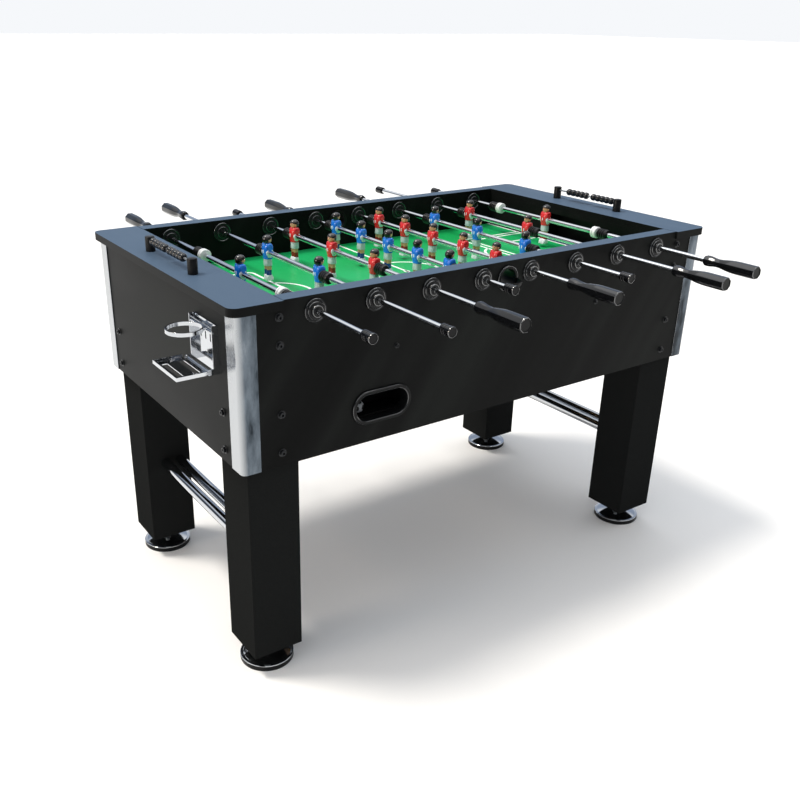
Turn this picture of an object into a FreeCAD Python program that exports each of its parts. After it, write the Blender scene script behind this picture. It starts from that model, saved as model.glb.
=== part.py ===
import FreeCAD, Part
import math
import os
import re
import Sketcher

# A home foosball table, in millimetres: +X along the table, -Y towards the front player,
# +Z up. Every piece is drawn from the floor under the middle of the playfield, about which
# front and rear are alike after half a turn. At the end the origin is moved to the middle
# of the whole outline at rest, with the cup holder and the rods.

os.makedirs("parts", exist_ok=True)
doc = FreeCAD.newDocument("foosball_table")

SIZES = {
    # cabinet
    "deck_length": 1380, "deck_width": 762, "table_height": 880, "deck_thick": 18,
    "deck_round": 20, "body_length": 1350, "body_width": 752, "body_low": 528,
    "apron_thick": 19, "liner_thick": 19, "end_thick": 18, "corner_round": 10,
    "play_length": 1152, "play_width": 676, "liner_low": 728, "ledge_wide": 20,
    "field_top": 770, "field_thick": 9, "goal_wall_thick": 18, "catcher_low": 698,
    "goal_wide": 200, "goal_high": 80, "beam_place": 303, "beam_wide": 18, "beam_high": 60,
    # legs and feet
    "leg_side": 120, "leg_wall": 18, "leg_low": 50, "leg_plug": 30, "stem_hole": 6.5,
    "brace_radius": 14, "brace_height": 275, "brace_place": 585, "brace_apart": 40,
    "foot_radius": 62.5, "foot_thick": 14, "foot_dome": 30, "foot_dome_top": 20,
    "foot_nut": 12, "foot_nut_top": 32, "stem_radius": 6, "stem_top": 78,
    # trims and bolts
    "trim_thick": 2, "trim_front_wing": 40, "trim_end_wing": 46, "trim_gap": 1,
    "bolt_hole": 3.1, "bolt_shank": 3, "bolt_head": 6, "bolt_head_tall": 5,
    "washer_radius": 9, "washer_thick": 1.5, "bolt_socket": 2.9,
    # rods
    "rod_pitch": 144, "rod_height": 848, "rod_radius": 6.35, "rod_bore": 4.75,
    "sleeve_bore": 6.4, "sleeve_radius": 10, "bushing_bore": 10.05, "barrel_radius": 13,
    "flange_radius": 25, "flange_thick": 4, "hub_outer": 12, "hub_inner": 6,
    "grip_length": 140, "grip_bore_deep": 112, "grip_radius": 16, "cap_radius": 11,
    "cap_length": 30, "cap_wall": 3, "cap_reach": 425, "grip_reach": 585,
    "bumper_radius": 13.5, "bumper_start": 14.5, "bumper_end": 44, "end_gap": 1,
    "collar_radius": 15, "collar_start": 183, "collar_end": 199, "keeper_end": 233,
    # ball, its entries and its return
    "entry_height": 840, "entry_radius": 26, "entry_bore": 23, "entry_flange": 29.5,
    "entry_lip": 4, "scoop_deep": 38, "scoop_wall": 3, "return_place": 339,
    "return_height": 610, "return_half": 37.5, "return_rim": 38.5, "return_hole": 34,
    "return_bore": 30, "return_lip": 4, "pocket_deep": 62, "pocket_low": 579,
    "pocket_wall": 3, "pocket_half": 81, "pocket_high": 70, "chute_wide": 50,
    "chute_high": 40, "chute_wall": 3, "ball_radius": 16, "ball_gap": 0.3,
    # goal scorers
    "post_place": 644, "post_spread": 116, "post_radius": 11, "post_high": 34,
    "wire_radius": 2.5, "wire_high": 25, "bead_radius": 9.5, "bead_pitch": 16.5,
    "bead_gap": 0.5, "bead_bore": 2.9,
    # cup holder on the left end
    "holder_place": 238, "holder_half": 54, "holder_low": 722, "holder_high": 100,
    "holder_thick": 2.5, "ear_thick": 2, "tray_pivot_out": 22, "tray_pivot_up": 728,
    "ring_pivot_out": 9, "ring_pivot_up": 808, "tray_half": 60, "tray_reach": 73,
    "tray_rim": 7, "ring_bore": 35, "ring_wall": 3, "ring_tall": 8, "ring_out": 47,
    "pivot_radius": 3.5, "pivot_pin": 2.5, "pivot_gap": 0.05,
    # from the middle of the playfield to the middle of the outline
    "shift_along": 40, "shift_across": -14.5,
}

sheet = doc.addObject("Spreadsheet::Sheet", "Sizes")
for row, (alias, number) in enumerate(SIZES.items(), 1):
    sheet.set(f"A{row}", alias)
    sheet.set(f"B{row}", str(number))
    sheet.setAlias(f"B{row}", alias)
doc.recompute()

nodes = {}
ALONG = {
    "X": FreeCAD.Rotation(FreeCAD.Vector(0, 1, 0), 90),
    "Y": FreeCAD.Rotation(FreeCAD.Vector(1, 0, 0), -90),
    "Z": FreeCAD.Rotation(),
}
HALF_TURN = FreeCAD.Placement(FreeCAD.Vector(), FreeCAD.Rotation(FreeCAD.Vector(0, 0, 1), 180))


# ---------------------------------------------------------------- drawing helpers

def size(alias):
    """The number that the sheet holds under this alias."""
    return float(sheet.get(alias))


def formula(text):
    """An expression in which every word is an alias of the sheet."""
    return re.sub(r"[a-z][a-z_]*[a-z]", lambda word: "Sizes." + word.group(0), str(text))


def place(piece, at, rotation=None):
    if rotation is not None:
        piece.Placement = FreeCAD.Placement(FreeCAD.Vector(), rotation)
    for axis, text in zip("xyz", at):
        piece.setExpression(f"Placement.Base.{axis}", formula(text))
    return piece


def box(name, sides, corner):
    piece = doc.addObject("Part::Box", name)
    for side, text in zip(("Length", "Width", "Height"), sides):
        piece.setExpression(side, formula(text))
    return place(piece, corner)


def cylinder(name, radius, length, start, axis="Z"):
    piece = doc.addObject("Part::Cylinder", name)
    piece.setExpression("Radius", formula(radius))
    piece.setExpression("Height", formula(length))
    return place(piece, start, ALONG[axis])


def fuse(name, pieces):
    joined = doc.addObject("Part::MultiFuse", name)
    joined.Shapes = pieces
    return joined


def cut(name, base, tools):
    tool = tools[0] if len(tools) == 1 else fuse(name + "_tools", tools)
    rest = doc.addObject("Part::Cut", name)
    rest.Base = base
    rest.Tool = tool
    return rest


def group(name, solids):
    together = doc.addObject("Part::Compound", name)
    together.Links = solids
    return together


def node(label, piece):
    piece.Label = label
    nodes[label] = piece
    return piece


def copies(label, placed):
    """One node made of masters repeated at the given placements."""
    solids = []
    for master, placement in placed:
        solid = master.Shape.copy()
        solid.Placement = placement.multiply(solid.Placement)
        solids.append(solid)
    piece = doc.addObject("Part::Feature", label + "_set")
    piece.Shape = Part.makeCompound(solids)
    return node(label, piece)


def plane_sketch(body, role, name):
    sketch = body.newObject("Sketcher::SketchObject", name)
    plane = next(item for item in body.Origin.OriginFeatures if item.Role == role)
    sketch.AttachmentSupport = [(plane, "")]
    sketch.MapMode = "FlatFace"
    return sketch


def outline(sketch, points):
    """A closed polyline whose corners are held by formulas of the sheet."""
    count = len(points)
    spots = []
    for i in range(count):
        angle = 2 * math.pi * i / count
        spots.append(FreeCAD.Vector(100 * math.cos(angle), 100 * math.sin(angle), 0))
    for i in range(count):
        sketch.addGeometry(Part.LineSegment(spots[i], spots[(i + 1) % count]))
    for i in range(count):
        sketch.addConstraint(Sketcher.Constraint("Coincident", i, 2, (i + 1) % count, 1))
    for i, (across, up) in enumerate(points):
        for kind, text, axis in (("DistanceX", across, -2), ("DistanceY", up, -1)):
            if text == "0":
                sketch.addConstraint(Sketcher.Constraint("PointOnObject", i, 1, axis))
                continue
            row = sketch.addConstraint(Sketcher.Constraint(kind, -1, 1, i, 1, 50.0))
            sketch.setExpression(f"Constraints[{row}]", formula(text))


def pad(body, role, name, points, length, reverse=False):
    sketch = plane_sketch(body, role, name + "_outline")
    outline(sketch, points)
    feature = body.newObject("PartDesign::Pad", name)
    feature.Profile = sketch
    feature.Reversed = reverse
    feature.setExpression("Length", formula(length))
    return feature


def turned(name, points):
    """A PartDesign body turned about its own Z axis from (radius, height) corners."""
    body = doc.addObject("PartDesign::Body", name)
    sketch = plane_sketch(body, "XZ_Plane", name + "_profile")
    outline(sketch, points)
    feature = body.newObject("PartDesign::Revolution", name + "_turning")
    feature.Profile = sketch
    feature.ReferenceAxis = (sketch, ["V_Axis"])
    feature.Angle = 360
    return body


def round_edges(body, name, radius, wanted):
    """Rounds the edges of a body's last feature that the test picks."""
    doc.recompute()
    base = body.Tip
    picked = []
    for i, edge in enumerate(base.Shape.Edges, 1):
        if wanted(edge):
            picked.append(f"Edge{i}")
    fillet = body.newObject("PartDesign::Fillet", name)
    fillet.Base = (base, picked)
    fillet.setExpression("Radius", formula(radius))
    return fillet


def upright(edge):
    low, high = edge.Vertexes[0].Point, edge.Vertexes[-1].Point
    return math.hypot(low.x - high.x, low.y - high.y) < 0.01


# ---------------------------------------------------------------- cabinet boards

DECK_LOW = "(table_height - deck_thick)"
ROD_PLACES = [number - 4.5 for number in range(1, 9)]
FRAME_BOLTS = [(847, 60), (790, 60), (643, 35), (558, 35)]
BOLT_PLACE = "(play_length + goal_wall_thick)/2"
END_BOLT_HEIGHTS = (640, 556)
END_BOLT_PLACE = "(body_width/2 - apron_thick - leg_side/2)"
BEAM_SCREW_HEIGHT = 737


def stadium(name, radius, start, depth):
    """An upright slot with round ends, running along +Y from start."""
    ends = []
    for side in (-1, 1):
        across = f"-return_place + {side}*return_half"
        ends.append(cylinder(f"{name}_end{side + 1}", radius, depth,
                             (across, start, "return_height"), "Y"))
    middle = box(f"{name}_middle", ("2*return_half", depth, f"2*({radius})"),
                 ("-return_place - return_half", start, f"return_height - ({radius})"))
    return fuse(name, ends + [middle])


def side_panel(label):
    """Front apron with the thicker rail that carries the rods, and the field's ledge."""
    body = doc.addObject("PartDesign::Body", label + "_body")
    low, high = "body_low", DECK_LOW
    end, step = "body_length/2", "play_length/2"
    apron = [(f"-{end}", low), (end, low), (end, high), (step, high), (step, "table_height"),
             (f"-{step}", "table_height"), (f"-{step}", high), (f"-{end}", high)]
    pad(body, "XZ_Plane", label + "_apron", apron, "apron_thick")
    round_edges(body, label + "_corners", "corner_round",
                lambda edge: upright(edge) and abs(edge.Vertexes[0].X) > size("body_length") / 2 - 1
                and edge.Vertexes[0].Y < -1)
    inner = "(body_length/2 - end_thick)"
    liner = [(f"-{inner}", "liner_low"), (inner, "liner_low"), (inner, high), (step, high),
             (step, "table_height"), (f"-{step}", "table_height"), (f"-{step}", high),
             (f"-{inner}", high)]
    pad(body, "XZ_Plane", label + "_liner", liner, "liner_thick", True)
    ledge_top = "(field_top - field_thick)"
    ledge = [(f"-{step}", "liner_low"), (step, "liner_low"), (step, ledge_top),
             (f"-{step}", ledge_top)]
    pad(body, "XZ_Plane", label + "_ledge", ledge, "liner_thick + ledge_wide", True)
    place(body, ("0", "-(body_width/2 - apron_thick)", "0"))
    through, face = "body_width", "-body_width/2 - 5"
    holes = []
    for number, along in enumerate(ROD_PLACES, 1):
        holes.append(cylinder(f"{label}_rod_hole{number}", "barrel_radius", "60",
                              (f"{along}*rod_pitch", face, "rod_height"), "Y"))
    holes.append(cylinder(label + "_entry_hole", "entry_radius", "60",
                          ("0", face, "entry_height"), "Y"))
    holes.append(stadium(label + "_return_hole", "return_hole", face, "60"))
    for side in (-1, 1):
        for height, _ in FRAME_BOLTS:
            holes.append(cylinder(f"{label}_bolt_hole{side + 1}_{height}", "bolt_hole", "60",
                                  (f"{side}*{BOLT_PLACE}", face, height), "Y"))
        holes.append(cylinder(f"{label}_beam_hole{side + 1}", "bolt_hole", "70",
                              (f"{side}*beam_place", face, BEAM_SCREW_HEIGHT), "Y"))
    return node(label, cut(label + "_board", body, holes))


side_panel("side_panel_front")
side_panel("side_panel_rear").Placement = HALF_TURN

end_panels = []
for side in (-1, 1):
    board = box(f"end_board{side + 1}",
                ("end_thick", "body_width - 2*apron_thick", DECK_LOW + " - body_low"),
                (f"{side}*(body_length - end_thick)/2 - end_thick/2",
                 "-(body_width/2 - apron_thick)", "body_low"))
    holes = []
    for across in (-1, 1):
        for height in END_BOLT_HEIGHTS:
            holes.append(cylinder(f"end_hole{side + 1}_{across + 1}_{height}", "bolt_hole",
                                  "60", (f"{side}*(body_length/2) - 30",
                                         f"{across}*{END_BOLT_PLACE}", height), "X"))
    end_panels.append(cut(f"end_panel{side + 1}", board, holes))
node("end_panels", group("end_panel_pair", end_panels))

goal_walls = []
for side in (-1, 1):
    face = f"{side}*(play_length + goal_wall_thick)/2 - goal_wall_thick/2"
    board = box(f"goal_board{side + 1}",
                ("goal_wall_thick", "play_width", DECK_LOW + " - liner_low"),
                (face, "-play_width/2", "liner_low"))
    mouth = box(f"goal_mouth{side + 1}", ("goal_wall_thick + 20", "goal_wide", "goal_high"),
                (face + " - 10", "-goal_wide/2", "field_top"))
    holes = [mouth]
    for across in (-1, 1):
        for height in (847, 790):
            start = "play_width/2 - 25" if across > 0 else "-play_width/2 - 1"
            holes.append(cylinder(f"goal_hole{side + 1}_{across + 1}_{height}", "bolt_hole",
                                  "26", (f"{side}*{BOLT_PLACE}", start, height), "Y"))
    goal_walls.append(cut(f"goal_wall{side + 1}", board, holes))
node("goal_walls", group("goal_wall_pair", goal_walls))

decks = []
for side in (-1, 1):
    deck = doc.addObject("PartDesign::Body", f"deck{side + 1}")
    inner, outer = f"{side}*play_length/2", f"{side}*deck_length/2"
    pad(deck, "XY_Plane", f"deck_slab{side + 1}",
        [(inner, "-deck_width/2"), (outer, "-deck_width/2"), (outer, "deck_width/2"),
         (inner, "deck_width/2")], "deck_thick")
    round_edges(deck, f"deck_corners{side + 1}", "deck_round",
                lambda edge: upright(edge) and abs(edge.Vertexes[0].X) > size("play_length") / 2 + 9)
    decks.append(place(deck, ("0", "0", DECK_LOW)))
node("top_decks", group("deck_pair", decks))

field = box("field_board", ("play_length", "play_width", "field_thick"),
            ("-play_length/2", "-play_width/2", "field_top - field_thick"))
node("playfield", field)

beams = []
for side in (-1, 1):
    clear = "(play_width - 2*ledge_wide)"
    beam = box(f"beam_bar{side + 1}", ("beam_wide", clear, "beam_high"),
               (f"{side}*beam_place - beam_wide/2", f"-{clear}/2",
                "field_top - field_thick - beam_high"))
    holes = []
    for across in (-1, 1):
        start = f"{across}*{clear}/2 - 30"
        holes.append(cylinder(f"beam_hole{side + 1}_{across + 1}", "bolt_hole", "60",
                              (f"{side}*beam_place", start, BEAM_SCREW_HEIGHT), "Y"))
    beams.append(cut(f"beam{side + 1}", beam, holes))
node("playfield_supports", group("beam_pair", beams))


# ---------------------------------------------------------------- legs, braces and feet

LEG_X = "(body_length/2 - end_thick - leg_side/2)"
LEG_Y = "(body_width/2 - apron_thick - leg_side/2)"
CORNERS = [("front_left", -1, -1), ("front_right", 1, -1), ("rear_left", -1, 1),
           ("rear_right", 1, 1)]

legs = []
for name, sx, sy in CORNERS:
    middle = (f"{sx}*{LEG_X}", f"{sy}*{LEG_Y}")
    post = box(f"leg_{name}_post", ("leg_side", "leg_side", "liner_low - leg_low"),
               (middle[0] + " - leg_side/2", middle[1] + " - leg_side/2", "leg_low"))
    inside = "(leg_side - 2*leg_wall)"
    hollow = box(f"leg_{name}_hollow", (inside, inside, "liner_low - leg_low"),
                 (f"{middle[0]} - {inside}/2", f"{middle[1]} - {inside}/2",
                  "leg_low + leg_plug"))
    socket = cylinder(f"leg_{name}_socket", "stem_hole", "leg_plug + 10",
                      (middle[0], middle[1], "leg_low - 5"))
    tools = [hollow, socket]
    for height, _ in FRAME_BOLTS[2:]:
        start = f"{sy}*(body_width/2 - apron_thick) - 20"
        tools.append(cylinder(f"leg_{name}_side_hole{height}", "bolt_hole", "40",
                              (f"{sx}*{BOLT_PLACE}", start, height), "Y"))
    for height in END_BOLT_HEIGHTS:
        start = f"{sx}*(body_length/2 - end_thick) - 20"
        tools.append(cylinder(f"leg_{name}_end_hole{height}", "bolt_hole", "40",
                              (start, f"{sy}*{END_BOLT_PLACE}", height), "X"))
    legs.append(cut(f"leg_{name}", post, tools))
node("legs", group("leg_set", legs))

braces = []
for side in (-1, 1):
    for offset in (-1, 1):
        across = f"{side}*brace_place + {offset}*brace_apart/2"
        braces.append(cylinder(f"brace{side + 1}_{offset + 1}", "brace_radius",
                               f"2*({LEG_Y} - leg_side/2)",
                               (across, f"-({LEG_Y} - leg_side/2)", "brace_height"), "Y"))
node("leg_brace_tubes", group("brace_set", braces))

for name, sx, sy in CORNERS:
    profile = [("0", "0"), ("foot_radius - 1.5", "0"), ("foot_radius", "1.5"),
               ("foot_radius", "foot_thick - 1.5"), ("foot_radius - 2", "foot_thick"),
               ("foot_dome", "foot_dome_top"), ("foot_nut", "foot_dome_top"),
               ("foot_nut", "foot_nut_top"), ("stem_radius", "foot_nut_top"),
               ("stem_radius", "stem_top"), ("0", "stem_top")]
    foot = turned(f"foot_{name}", profile)
    node(f"leveler_{name}", place(foot, (f"{sx}*{LEG_X}", f"{sy}*{LEG_Y}", "0")))


# ---------------------------------------------------------------- corner trims and bolts

trims = []
for turn, (sx, sy) in enumerate([(1, 1), (-1, 1), (-1, -1), (1, -1)]):
    tall = DECK_LOW + " - trim_gap - body_low"
    low = "body_low"
    shell = cylinder(f"trim_shell{turn}", "corner_round + trim_thick", tall, ("0", "0", low))
    core = cylinder(f"trim_core{turn}", "corner_round", tall, ("0", "0", low))
    shell.Angle = core.Angle = 90
    bend = place(cut(f"trim_bend{turn}", shell, [core]),
                 (f"{sx}*(body_length/2 - corner_round)", f"{sy}*(body_width/2 - corner_round)",
                  "0"), FreeCAD.Rotation(FreeCAD.Vector(0, 0, 1), 90 * turn))
    front = f"(trim_front_wing - corner_round)"
    end = f"(trim_end_wing - corner_round)"
    front_wing = box(f"trim_front{turn}", (front, "trim_thick", tall),
                     (f"{sx}*(body_length/2 - corner_round - {front}/2) - {front}/2",
                      f"{sy}*(body_width/2 + trim_thick/2) - trim_thick/2", low))
    end_wing = box(f"trim_end{turn}", ("trim_thick", end, tall),
                   (f"{sx}*(body_length/2 + trim_thick/2) - trim_thick/2",
                    f"{sy}*(body_width/2 - corner_round - {end}/2) - {end}/2", low))
    trims.append(fuse(f"trim{turn}", [bend, front_wing, end_wing]))
node("corner_trims", group("trim_set", trims))


def bolt(name, length, small=False):
    """A socket-head bolt on its washer, standing on z = 0 with its shank below."""
    scale = 0.7 if small else 1
    washer = cylinder(name + "_washer", f"{scale}*washer_radius", "washer_thick",
                      ("0", "0", "0"))
    head = cylinder(name + "_head", f"{scale}*bolt_head", "bolt_head_tall",
                    ("0", "0", "washer_thick"))
    shank = cylinder(name + "_shank", "bolt_shank", f"{length} + 1", ("0", "0", f"-{length}"))
    socket = cylinder(name + "_socket", f"{scale}*bolt_socket", "bolt_head_tall",
                      ("0", "0", "washer_thick + 2"))
    return cut(name, fuse(name + "_solid", [washer, head, shank]), [socket])


long_bolt = bolt("long_bolt", 60)
leg_bolt = bolt("leg_bolt", 35)
beam_bolt = bolt("beam_bolt", 80, True)
doc.recompute()
bolts = []
half_length, half_width = size("body_length") / 2, size("body_width") / 2
bolt_x = (size("play_length") + size("goal_wall_thick")) / 2
for sy in (-1, 1):
    out = FreeCAD.Rotation(FreeCAD.Vector(1, 0, 0), -90 * sy)
    for sx in (-1, 1):
        for height, length in FRAME_BOLTS:
            master = long_bolt if length == 60 else leg_bolt
            spot = FreeCAD.Vector(sx * bolt_x, sy * half_width, height)
            bolts.append((master, FreeCAD.Placement(spot, out)))
        spot = FreeCAD.Vector(sx * size("beam_place"), sy * half_width, BEAM_SCREW_HEIGHT)
        bolts.append((beam_bolt, FreeCAD.Placement(spot, out)))
for sx in (-1, 1):
    out = FreeCAD.Rotation(FreeCAD.Vector(0, 1, 0), 90 * sx)
    for sy in (-1, 1):
        for height in END_BOLT_HEIGHTS:
            across = sy * (half_width - size("apron_thick") - size("leg_side") / 2)
            spot = FreeCAD.Vector(sx * half_length, across, height)
            bolts.append((leg_bolt, FreeCAD.Placement(spot, out)))
copies("cabinet_bolts", bolts)


# ---------------------------------------------------------------- ball entries and returns

FACE = "body_width/2"
INSIDE = "play_width/2"

entry_parts = [
    cylinder("entry_outer_rim", "entry_flange", "entry_lip", ("0", f"-{FACE} - entry_lip", "0"), "Y"),
    cylinder("entry_barrel", "entry_radius", f"{FACE} - {INSIDE}", ("0", f"-{FACE}", "0"), "Y"),
    cylinder("entry_inner_rim", "entry_flange", "entry_lip", ("0", f"-{INSIDE}", "0"), "Y"),
]


def scoop_form(name, shrink):
    form = doc.addObject("Part::Ellipsoid", name)
    for radius, text in (("Radius1", "entry_flange - 1"), ("Radius2", "entry_flange - 1"),
                         ("Radius3", "scoop_deep")):
        form.setExpression(radius, formula(f"{text} - {shrink}"))
    form.Angle1, form.Angle2, form.Angle3 = -90, 90, 360
    return place(form, ("0", f"-{FACE} - entry_lip + 2", "0"))


scoop_side = "2*entry_flange + 40"
upper = box("scoop_upper", (scoop_side, "120", "60"), ("-entry_flange - 20", f"-{FACE} - 90", "-2"))
behind = box("scoop_behind", (scoop_side, "90", "120"),
             ("-entry_flange - 20", f"-{FACE} - entry_lip + 2", "-60"))
scoop = cut("scoop", scoop_form("scoop_out", "0"), [scoop_form("scoop_in", "scoop_wall"), upper, behind])
entry_way = cylinder("entry_way", "entry_bore", "70",
                     ("0", f"-{FACE} - entry_lip - 1", "0"), "Y")
entry = place(cut("entry_piece", fuse("entry_solid", entry_parts + [scoop]), [entry_way]),
              ("0", "0", "entry_height"))
doc.recompute()
copies("ball_entries", [(entry, FreeCAD.Placement()), (entry, HALF_TURN)])

pocket = box("pocket_shell", ("2*pocket_half", "pocket_deep", "pocket_high"),
             ("-return_place - pocket_half", f"-{FACE} + apron_thick", "pocket_low"))
hollow = box("pocket_hollow",
             ("2*(pocket_half - pocket_wall)", "pocket_deep - 2*pocket_wall",
              "pocket_high - 2*pocket_wall"),
             ("-return_place - pocket_half + pocket_wall",
              f"-{FACE} + apron_thick + pocket_wall", "pocket_low + pocket_wall"))
rim = stadium("return_rim_form", "return_rim", f"-{FACE} - return_lip", "return_lip")
neck = stadium("return_neck_form", "return_hole", f"-{FACE}", "apron_thick")
mouth = stadium("return_mouth_form", "return_bore", f"-{FACE} - return_lip - 1",
                "apron_thick + return_lip + pocket_wall + 2")
ball_hole = cylinder("pocket_ball_hole", "chute_wide/2 - chute_wall", "20",
                     ("-return_place - pocket_half + 32",
                      f"-{FACE} + apron_thick + pocket_deep - 10", "pocket_low + 40"), "Y")
return_tray = cut("return_tray", fuse("return_form", [pocket, rim, neck]),
                  [hollow, ball_hole, mouth])
doc.recompute()
copies("ball_return_trays", [(return_tray, FreeCAD.Placement()), (return_tray, HALF_TURN)])

# A goal ball drops into the catcher behind the goal, through its floor, and rolls down a
# gutter to the return tray on that end's player side.
catcher_x = "(play_length/2 + goal_wall_thick)"
catcher = box("catcher_shell", ("58", "goal_wide + 16", "160"),
              (f"-{catcher_x} - 58", "-goal_wide/2 - 8", "catcher_low"))
catcher_room = box("catcher_room", ("55", "goal_wide + 10", "160"),
                   (f"-{catcher_x} - 55", "-goal_wide/2 - 5", "catcher_low + 3"))
catcher_drop = box("catcher_drop", ("44", "44", "20"),
                   (f"-{catcher_x} - 52", "-goal_wide/2 + 16", "catcher_low - 5"))
catcher_cup = cut("catcher", catcher, [catcher_room, catcher_drop])

CHUTE_START = FreeCAD.Vector(-636, -50, 652)
CHUTE_END = FreeCAD.Vector(-405, -274, 600)
run = CHUTE_END - CHUTE_START
chute_length = run.Length
gutter_form = box("gutter_form", (f"{chute_length}", "chute_wide", "chute_high"),
                  ("0", "-chute_wide/2", "0"))
gutter_room = box("gutter_room", (f"{chute_length} + 40", "chute_wide - 2*chute_wall", "chute_high"),
                  ("chute_wall", "-chute_wide/2 + chute_wall", "chute_wall"))
gutter = cut("gutter", gutter_form, [gutter_room])
heading = math.degrees(math.atan2(run.y, run.x))
slope = math.degrees(math.asin(-run.z / chute_length))
gutter.Placement = FreeCAD.Placement(
    CHUTE_START, FreeCAD.Rotation(FreeCAD.Vector(0, 0, 1), heading).multiply(
        FreeCAD.Rotation(FreeCAD.Vector(0, 1, 0), slope)))
doc.recompute()
still = FreeCAD.Placement()
copies("ball_chutes", [(catcher_cup, still), (gutter, still), (catcher_cup, HALF_TURN),
                       (gutter, HALF_TURN)])

ball = doc.addObject("Part::Sphere", "game_ball")
ball.setExpression("Radius", formula("ball_radius"))
node("ball", place(ball, ("-return_place - 38", f"-{FACE} + apron_thick + 22",
                          "pocket_low + pocket_wall + ball_radius + ball_gap")))


# ---------------------------------------------------------------- rods

def ring(name, radius, bore, start, length):
    """A plain ring about the rod's axis, from start along +Y."""
    return cut(name, cylinder(name + "_out", radius, length, ("0", start, "0"), "Y"),
               [cylinder(name + "_bore", bore, f"{length} + 2", ("0", f"{start} - 1", "0"), "Y")])


# Bushing for the wall on the +Y side: flange, barrel and hub outside, a nut ring inside.
bushing_disc = cylinder("bushing_disc", "flange_radius", "flange_thick", ("0", FACE, "0"), "Y")
bushing_step = cylinder("bushing_step", "flange_radius - 6", "flange_thick + 2", ("0", FACE, "0"), "Y")
bushing_hub = cylinder("bushing_hub", "barrel_radius", f"{FACE} - {INSIDE} + hub_outer",
                       ("0", INSIDE, "0"), "Y")
bushing_way = cylinder("bushing_way", "bushing_bore", "80", ("0", f"{INSIDE} - 1", "0"), "Y")
bushing_outer = cut("bushing_outer", fuse("bushing_form", [bushing_disc, bushing_step, bushing_hub]),
                    [bushing_way])
nut_disc = cylinder("nut_disc", "flange_radius", "flange_thick", ("0", f"{INSIDE} - flange_thick", "0"), "Y")
nut_hub = cylinder("nut_hub", "barrel_radius + 2", "hub_inner", ("0", f"{INSIDE} - hub_inner", "0"), "Y")
nut_way = cylinder("nut_way", "bushing_bore", "20", ("0", f"{INSIDE} - 10", "0"), "Y")
bushing_nut = cut("bushing_nut", fuse("nut_form", [nut_disc, nut_hub]), [nut_way])
sleeve = ring("sleeve", "sleeve_radius", "sleeve_bore", f"{INSIDE} - hub_inner",
              f"{FACE} - {INSIDE} + hub_inner + hub_outer")

# The player figure faces -X, with the rod through its chest and its feet down.
figure_parts = [
    cylinder("figure_hub", "11", "27", ("0", "-13.5", "0"), "Y"),
    box("figure_chest", ("17", "27", "24"), ("-8.5", "-13.5", "-3")),
    box("figure_shorts", ("17", "24", "17"), ("-8.5", "-12", "-28")),
    box("figure_waist", ("16", "25", "12"), ("-8", "-12.5", "-13")),
    box("figure_legs", ("12", "20", "30"), ("-6", "-10", "-57")),
    box("figure_boots", ("21", "23", "15"), ("-11", "-11.5", "-69")),
    cylinder("figure_neck", "5", "10", ("0", "0", "18")),
]
figure_head = doc.addObject("Part::Ellipsoid", "figure_head")
figure_head.Radius1, figure_head.Radius2, figure_head.Radius3 = 9.5, 9, 8
figure_head.Angle1, figure_head.Angle2, figure_head.Angle3 = -90, 90, 360
figure_head.Placement.Base = FreeCAD.Vector(0, 0, 31.5)
figure_way = cylinder("figure_way", "rod_radius", "40", ("0", "-20", "0"), "Y")
figure = cut("figure", fuse("figure_form", figure_parts + [figure_head]), [figure_way])

# Octagonal grip: the master's collar is at y = 0 and it runs to -Y.
GRIP_STATIONS = [(0, 0.70), (3, 0.80), (16, 0.78), (32, 0.58), (46, 0.64), (62, 0.86),
                 (78, 0.98), (90, 1.0), (130, 1.0), (136, 0.92), (140, 0.70)]
sections = []
for number, (distance, share) in enumerate(GRIP_STATIONS):
    section = doc.addObject("Part::RegularPolygon", f"grip_section{number}")
    section.Polygon = 8
    section.setExpression("Circumradius", formula(f"{share}*grip_radius"))
    place(section, ("0", f"-{distance}*grip_length/140", "0"),
          FreeCAD.Rotation(FreeCAD.Vector(1, 0, 0), 90).multiply(
              FreeCAD.Rotation(FreeCAD.Vector(0, 0, 1), 22.5)))
    sections.append(section)
grip_form = doc.addObject("Part::Loft", "grip_form")
grip_form.Sections = sections
grip_form.Solid = True
grip_form.Ruled = True
grip = cut("grip", grip_form, [cylinder("grip_way", "rod_radius", "grip_bore_deep + 5",
                                        ("0", "-grip_bore_deep", "0"), "Y")])

# End cap: its open end is at y = 0 and it runs to +Y.
cap = cut("cap", cylinder("cap_form", "cap_radius", "cap_length", ("0", "0", "0"), "Y"),
          [cylinder("cap_way", "rod_radius", "cap_length", ("0", "-cap_wall", "0"), "Y")])

# Rubber bumper with three ribs, from y = 0 to +Y.
bumper_long = "(bumper_end - bumper_start)"
grooves = [ring(f"bumper_groove{step}", "bumper_radius + 2", "bumper_radius - 2.5",
                f"{bumper_long}*{step}/6", f"{bumper_long}/12") for step in (1, 2.5, 4)]
bumper = cut("bumper", ring("bumper_form", "bumper_radius", "rod_radius", "0", bumper_long), grooves)
collar = ring("collar", "collar_radius", "rod_radius", "0", "collar_end - collar_start")
doc.recompute()

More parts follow.
